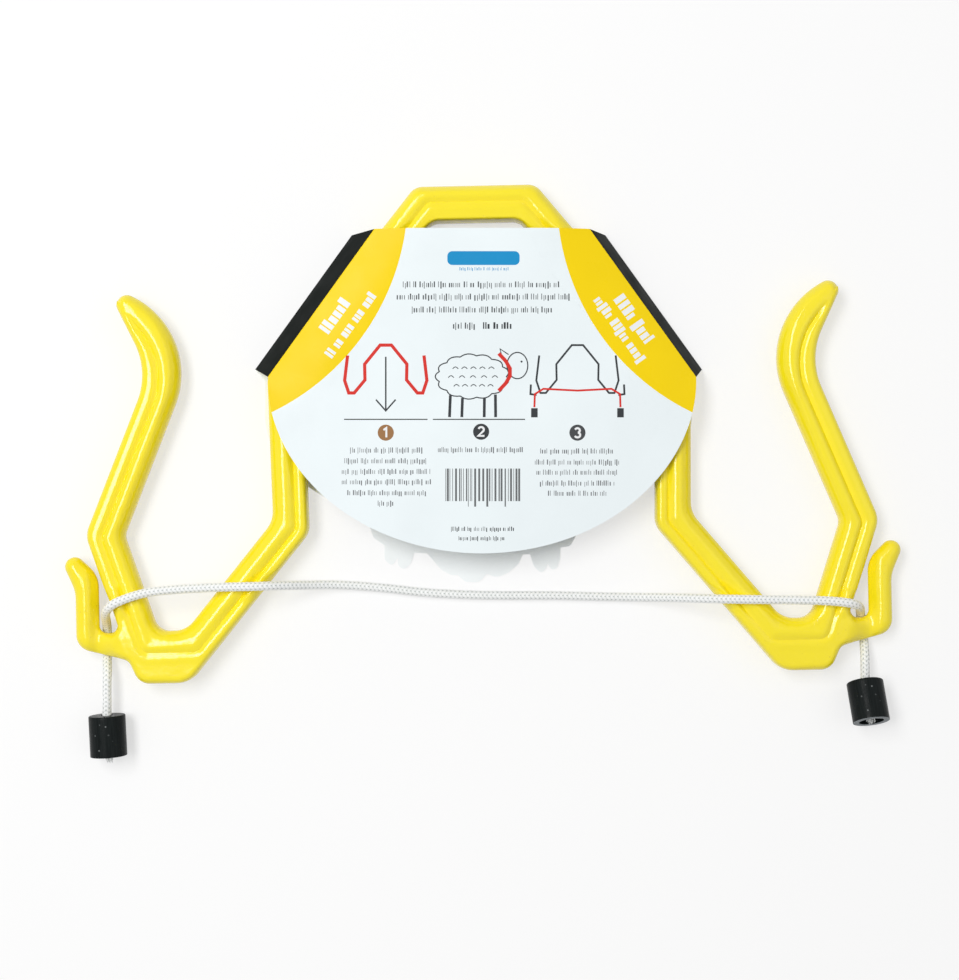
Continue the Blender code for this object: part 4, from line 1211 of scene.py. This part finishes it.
def print_design():
    """Each ink's name and the closed loops that it fills, in metres, in the order they are laid down."""
    draw = random.Random(11)
    inks = []

    def lay(ink, shapes):
        inks.extend((ink, loops) for loops in shapes)

    for x, y, radius in LEAVES:
        lay("sun_yellow", [[ring_of((x, y), radius * 2, radius * 2, 240)]])
    lay("sky_blue", [[rounded([(-18.5, 59.4, 2.6), (20.0, 59.4, 2.6), (20.0, 66.8, 2.6), (-18.5, 66.8, 2.6)],
                              15.0)]])
    lay("sky_blue", block_line(draw, (1.5, 57.2), 27.0, 1.3))
    for y, left, right in ((48.7, -42.2, 41.7), (42.2, -45.5, 47.1), (35.3, -37.4, 38.0)):
        lay("text_grey", block_line(draw, ((left + right) / 2, y), right - left, 2.3))
    lay("text_grey", block_line(draw, (-9.0, 26.7), 13.0, 2.4))
    lay("ink_black", block_line(draw, (9.0, 26.7), 17.0, 2.6, 0.0, (0.26, 0.34, 0.42), (0.2, 0.28)))
    for middle, (red, dark) in zip(DRAWING_X, (first_drawing(), second_drawing(), third_drawing())):
        for ink, shapes in (("ink_black", dark), ("signal_red", red)):
            lay(ink, [[[(middle + x * DRAWING_SCALE, y * DRAWING_SCALE) for x, y in loop] for loop in loops]
                      for loops in shapes])
    discs = ((-29.9, "disc_brown"), (-29.4, "ink_black"), (-29.9, "disc_grey"))
    for number, (x, (y, ink)) in enumerate(zip(DRAWING_X, discs), start=1):
        lay(ink, [[ring_of((x, y), 8.6, 8.6, 40)]])
        lay("paper_white", [stroke(swung(line, 0.0, (x, y)), 1.05) for line in number_lines(number)])
    columns = (
        (-50.8, (-39.5, -45.2, -50.9, -56.4, -62.2, -67.8), (39.0, 45.0, 47.8, 47.8, 42.0, 9.5)),
        (0.0, (-39.3,), (47.0,)),
        (50.8, (-40.0, -45.9, -51.3, -57.1, -62.5), (39.6, 45.3, 43.8, 40.0, 31.4)),
    )
    for middle, rows, widths in columns:
        for y, width in zip(rows, widths):
            lay("text_pale", block_line(draw, (middle, y), width, 2.0))
    x = -19.5
    while x < 20.5:
        wide = draw.choice((0.35, 0.35, 0.7, 1.05))
        tall = -69.3 if draw.random() < 0.14 else -66.4
        lay("bar_grey", [[box(x, tall, x + wide, -49.0)]])
        x += wide + draw.choice((0.4, 0.4, 0.75, 1.1))
    lay("ink_black", block_line(draw, (0.5, -81.4), 34.0, 1.7))
    lay("ink_black", block_line(draw, (0.5, -86.4), 26.0, 1.6))
    for side, lines in ((-1, ((-76.7, 33.9, 24.7, 5.0), (-69.4, 27.5, 41.6, 3.9))),
                        (1, ((80.4, 30.5, 29.0, 5.0), (73.0, 24.5, 42.0, 3.9)))):
        for x, y, width, size in lines:
            lay("paper_white", block_line(draw, (x, y), width, size, -side * 54.3,
                                          (0.4, 0.52, 0.6), (0.16, 0.2)))
    return [(ink, [[(x * MM, y * MM) for x, y in loop] for loop in loops]) for ink, loops in inks]


INKS = {
    "card_white": (0.89, 0.96, 0.98),
    "sun_yellow": (0.975, 0.70, 0.008),
    "sky_blue": (0.02, 0.30, 0.62),
    "text_grey": (0.11, 0.12, 0.125),
    "text_pale": (0.19, 0.20, 0.21),
    "ink_black": (0.05, 0.055, 0.06),
    "signal_red": (0.72, 0.045, 0.035),
    "disc_brown": (0.36, 0.19, 0.085),
    "disc_grey": (0.075, 0.08, 0.085),
    "bar_grey": (0.16, 0.17, 0.175),
    "paper_white": (0.90, 0.92, 0.93),
    "spine_black": (0.004, 0.006, 0.005),
    "card_inside": (0.94, 0.975, 0.98),
}
INK_WEAR = 0.04
PAPER_GLOSS = (0.28, 0.08)
SPINE_GLOSS = (0.5, 0.03)


def card_bulge(points):
    """How far the front panel stands up off the frame, away from its folds."""
    low, top = (CARD_HALF_WIDTH, 0.0), (CARD_TOP_HALF_WIDTH, CARD_RISE)
    right = distance_to([low, top], points, closed=False)
    left = distance_to([(-low[0], low[1]), (-top[0], top[1])], points, closed=False)
    away = np.clip(np.minimum(left, right) / CARD_BULGE_RUN, 0.0, 1.0)
    return CARD_BULGE * (1.0 - (1.0 - away) ** 2)


def fold_sections():
    """The section across a fold: how far out of the front's fold line each point lies, and its height."""
    far = 4 * SPINE_LEAN
    chain = [
        (-far, CARD_TOP, 0.0),
        (0.0, CARD_TOP, FRONT_FOLD_RADIUS),
        (SPINE_LEAN, 0.0, BACK_FOLD_RADIUS),
        (-far, 0.0, 0.0),
    ]
    return rounded(chain, 9.0, closed=False)[1:-1]


def fold_ends(out, z):
    """Where the section's point (out, z) lies at the right fold's upper end and at its lower end."""
    top, low = (CARD_TOP_HALF_WIDTH, CARD_RISE), (CARD_HALF_WIDTH, 0.0)
    corner = beside(low, FOLD_SLOPE, SPINE_LEAN)
    if out < 0.0:
        turn = math.asin(-out / (FOLD_OUT[1] * CARD_DROP))
        lower = (CARD_HALF_WIDTH * math.cos(turn), -CARD_DROP * math.sin(turn))
        return (top[0] + out / FOLD_OUT[0], top[1]), lower
    if z < BACK_FOLD_RADIUS * 0.5 and out < SPINE_LEAN:
        inward = SPINE_LEAN - out
        cut = (FOLD_SLOPE[0] * SPINE_TOP_CUT, FOLD_SLOPE[1] * SPINE_TOP_CUT)
        head = beside(top, FOLD_SLOPE, SPINE_LEAN)
        flank = toward(corner, (BACK_SIDE_X, BACK_SIDE_TOP))
        share = inward / -(flank[0] * FOLD_OUT[0] + flank[1] * FOLD_OUT[1])
        upper = (head[0] + cut[0] - inward / FOLD_OUT[0], head[1] + cut[1])
        return upper, (corner[0] + flank[0] * share, corner[1] + flank[1] * share)
    slide = SPINE_TOP_CUT * out / SPINE_LEAN
    upper = (top[0] + FOLD_OUT[0] * out + FOLD_SLOPE[0] * slide,
             top[1] + FOLD_OUT[1] * out + FOLD_SLOPE[1] * slide)
    return upper, (low[0] + FOLD_OUT[0] * out, low[1] + FOLD_OUT[1] * out)


def fold_line(ends, side):
    """The points down one line of the right fold, where side is 1, or of the left one, where it is -1."""
    (x0, y0), (x1, y1) = ends
    return [(side * (x0 + (x1 - x0) * t), y0 + (y1 - y0) * t) for t in FOLD_STEPS]


def spine(sections, ends, side):
    """One spine's points, faces and inks, from the front's fold to the back's."""
    points = [(x, y, z) for pair, (_, z) in zip(ends, sections) for x, y in fold_line(pair, side)]
    faces, inks = [], []
    row = len(FOLD_STEPS)
    for k, (_, z) in enumerate(sections[:-1]):
        ink = "sun_yellow" if z > CARD_TOP - FRONT_FOLD_RADIUS * FOLD_YELLOW else "spine_black"
        ink = "card_white" if z < BACK_FOLD_RADIUS * FOLD_WHITE else ink
        for a in range(k * row, (k + 1) * row - 1):
            faces.append((a, a + 1, a + row + 1, a + row)[::side])
            inks.append(ink)
    return points, faces, inks


def fill_inside(outline, spacing, clear):
    """Points that fill a panel of the card, clear of its outline."""
    fill = lattice((0.0, -CARD_DROP), (CARD_HALF_WIDTH, CARD_RISE), spacing)
    fill = fill[inside(outline, fill)]
    return [tuple(p) for p in fill[distance_to(outline, fill) > clear]]


def inks_at(design, points):
    """The name of the ink on top at each point."""
    inks = np.full(len(points), "card_white", object)
    for ink, loops in design:
        filled = np.zeros(len(points), bool)
        for loop in map(np.array, loops):
            near = ((points >= loop.min(axis=0)) & (points <= loop.max(axis=0))).all(axis=1)
            if near.any():
                filled[near] ^= inside(loop, points[near])
        inks[filled] = ink
    return list(inks)


def front_panel(sections, ends):
    """The printed front's points, faces and inks."""
    turn_in = math.asin(-sections[0][0] / (FOLD_OUT[1] * CARD_DROP))
    turns = np.linspace(turn_in, math.pi - turn_in, 150)[1:-1]
    outline = fold_line(ends[0], 1)
    outline += [(CARD_HALF_WIDTH * math.cos(t), -CARD_DROP * math.sin(t)) for t in turns]
    outline += fold_line(ends[0], -1)[::-1]
    outline += spread([outline[-1], outline[0]], 0.004)[1:-1]
    points, edges = list(outline), ring_edges(outline)
    design = print_design()
    for loop in (loop for _, loops in design for loop in loops):
        x, y = np.array(loop).T
        near = (np.abs(x) < CARD_HALF_WIDTH + PRINT_REACH) & (y < CARD_RISE + PRINT_REACH) & (y > -CARD_DROP)
        places = {k: len(points) + n for n, k in enumerate(np.nonzero(near)[0].tolist())}
        points += [loop[k] for k in places]
        edges += [(places[a], places[b]) for a, b in ring_edges(loop) if a in places and b in places]
    plan, faces = triangulated(points + fill_inside(outline, *FRONT_FILL), edges)
    inks = inks_at(design, plan[faces].mean(axis=1))
    used, faces = np.unique(faces, return_inverse=True)
    plan = plan[used]
    return [*zip(*plan.T, CARD_TOP + card_bulge(plan))], faces.reshape(-1, 3), inks


def back_panel(ends):
    """The plain back's points, faces and inks, with its scalloped lower edge."""
    flank = [BACK_SIDE_X * math.cos(math.pi * k / 90) for k in range(91)]
    scallops = spread(rounded(BACK_SCALLOPS[::-1], 9.0, closed=False), 0.001)
    outline = fold_line(ends[-1], 1) + [(BACK_SIDE_X, BACK_SIDE_TOP)]
    outline += [back_flank(x) for x in flank if x > scallops[0][0] + 0.001] + scallops
    outline += [back_flank(x) for x in flank if x < scallops[-1][0] - 0.001]
    outline += [(-BACK_SIDE_X, BACK_SIDE_TOP)] + fold_line(ends[-1], -1)[::-1]
    plan, some = triangulated(outline + fill_inside(outline, *BACK_FILL), ring_edges(outline))
    return [(x, y, 0.0) for x, y in plan], some[:, ::-1], ["card_inside"] * len(some)


def make_card():
    """The sleeve, folded from one card: its printed front, black spines and scalloped back."""
    slots = list(INKS)
    sections = fold_sections()
    ends = [fold_ends(out, z) for out, z in sections]
    panels = (spine(sections, ends, -1), spine(sections, ends, 1),
              front_panel(sections, ends), back_panel(ends))
    points, faces, inks = [], [], []
    for some, joins, ink_of in panels:
        faces += [tuple(int(k) + len(points) for k in face) for face in joins]
        points += some
        inks += [slots.index(ink) for ink in ink_of]
    vertices = [card_point(x + BACK_SHIFT * max(0.0, 1.0 - z / CARD_TOP), y, z) for x, y, z in points]
    mesh = bpy.data.meshes.new("card_sleeve_print")
    mesh.from_pydata(vertices, [], faces)
    for slot, ink in INKS.items():
        gloss = SPINE_GLOSS if slot == "spine_black" else PAPER_GLOSS
        mesh.materials.append(printed_paper(slot, ink, *gloss))
    mesh.polygons.foreach_set("material_index", inks)
    made = in_scene("card_sleeve_print", mesh)
    weld = made.modifiers.new("joined folds", "WELD")
    weld.merge_threshold = WELD_REACH
    wall = made.modifiers.new("card thickness", "SOLIDIFY")
    wall.thickness = CARD_THICKNESS
    wall.offset = -1.0
    wall.material_offset = len(slots)
    wall.material_offset_rim = len(slots)
    whole = bpy.data.meshes.new_from_object(made.evaluated_get(bpy.context.evaluated_depsgraph_get()))
    made.modifiers.clear()
    made.data = whole
    whole.shade_smooth()
    whole.set_sharp_from_angle(angle=math.radians(CREASE_ANGLE))
    return made


# The studio: each lamp's place, size and power, the sky's light, and the floor, whose base colour is darker
# and whose glow is on only where it is seen, so that it shows white and still holds the shadows

KEY_LIGHT = ((-0.72, 0.38, 1.72), (0.54, 1.2), 23.5)
FILL_LIGHT = ((1.10, 0.20, 1.50), (1.2, 1.4), 2.5)
SKY_LIGHT = 0.37
FLOOR_PALE = 0.90
FLOOR_SEEN = 0.40
FLOOR_GLOW = 0.59
FLOOR_HALF = 6.0
FLOOR_Z = -0.0002


def make_camera():
    """The photograph's camera."""
    data = bpy.data.cameras.new("camera")
    data.sensor_width = SENSOR
    data.lens = SENSOR * PIXELS_PER_METRE * CAMERA_DISTANCE / max(PHOTO_PIXELS)
    data.clip_end = 20.0
    camera = in_scene("camera", data)
    camera.location = (*PHOTO_CENTRE, FRAME_MIDDLE + CAMERA_DISTANCE)
    camera.rotation_euler = (0.0, 0.0, math.radians(PHOTO_TURN))
    bpy.context.scene.camera = camera


def make_lamp(name, place, size, power):
    """A soft box at a place, turned to the part's middle, with its long side along Y."""
    data = bpy.data.lights.new(name, "AREA")
    data.shape = "RECTANGLE"
    data.size, data.size_y = size
    data.energy = power
    lamp = in_scene(name, data)
    away = Vector(place).normalized()
    long_side = (Vector((0.0, 1.0, 0.0)) - away * away.y).normalized()
    short_side = long_side.cross(away)
    lamp.location = place
    lamp.rotation_mode = "QUATERNION"
    lamp.rotation_quaternion = Matrix((short_side, long_side, away)).transposed().to_quaternion()


def seen_itself(tree):
    """1 for rays that show a surface, to the camera, in a mirror or through glass, and 0 for its light."""
    path = node(tree, "ShaderNodeLightPath").outputs
    indirect = maths(tree, "MAXIMUM", path["Is Glossy Ray"], path["Is Transmission Ray"])
    return maths(tree, "MAXIMUM", path["Is Camera Ray"], indirect)


def make_floor():
    """A wide pale floor, which shows white where nothing shades it."""
    made, tree, shader = new_material("pale_floor")
    tone = between(tree, noise(tree, local(tree), 0.3), 0.35, 0.65)
    seen = seen_itself(tree)
    pale = blended(tree, tone, (FLOOR_PALE,) * 3, (FLOOR_PALE - 0.01,) * 3)
    fill_in(tree, shader, Base_Color=blended(tree, seen, pale, (FLOOR_SEEN,) * 3), Roughness=0.9,
            Specular_IOR_Level=0.1, Emission_Color=(1.0, 1.0, 1.0),
            Emission_Strength=maths(tree, "MULTIPLY", seen, FLOOR_GLOW))
    mesh = bpy.data.meshes.new("floor")
    corners = [(x * FLOOR_HALF, y * FLOOR_HALF, FLOOR_Z) for x, y in ((-1, -1), (1, -1), (1, 1), (-1, 1))]
    mesh.from_pydata(corners, [], [(0, 1, 2, 3)])
    mesh.materials.append(made)
    in_scene("floor", mesh)


def make_world():
    """An even pale sky, which shows white behind the floor."""
    world = bpy.data.worlds.new("studio")
    world.use_nodes = True
    bpy.context.scene.world = world
    tree = world.node_tree
    strength = between(tree, seen_itself(tree), 0.0, 1.0, SKY_LIGHT, 1.0)
    fill_in(tree, tree.nodes["Background"], Color=(1.0, 1.0, 1.0), Strength=strength)


def main():
    """The studio and the seven pieces, each hung on its body's empty in place of its part of the imported
    model.
    """
    make_camera()
    make_world()
    make_floor()
    make_lamp("key_light", *KEY_LIGHT)
    make_lamp("fill_light", *FILL_LIGHT)

    braid = white_braid()
    cord, centreline = make_cord(braid)
    knots = [make_knot(f"{side}_knot_tied", end, aim, fray, seed, braid)
             for side, (end, aim, _, fray, seed) in CORD_ENDS.items()]
    wall = black_plastic("black_plastic", (0.004, 0.006, 0.006), 0.3, 0.08)
    rim = black_plastic("cut_rim", (0.16, 0.175, 0.185), 0.6, 0.3)
    cups = [make_stopper(f"{side}_stopper_cup", end, aim, wall, rim)
            for side, (end, aim, *_) in CORD_ENDS.items()]
    moulding = make_frame(yellow_plastic())
    card = make_card()

    rows = [
        (moulding, "frame", "frame", "yellow_plastic"),
        (cord, "frame", "cord", "white_braid"),
        (knots[0], "frame", "left_knot", "white_braid"),
        (knots[1], "frame", "right_knot", "white_braid"),
        (cups[0], "left_stopper", "left_stopper", "black_plastic"),
        (cups[1], "right_stopper", "right_stopper", "black_plastic"),
        (card, "card", "card_sleeve", "printed_card"),
    ]
    for piece, body, cad_node, slot in rows:
        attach(piece, body)
        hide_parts(cad_node)
    bpy.context.scene.view_settings.view_transform = "Standard"


main()
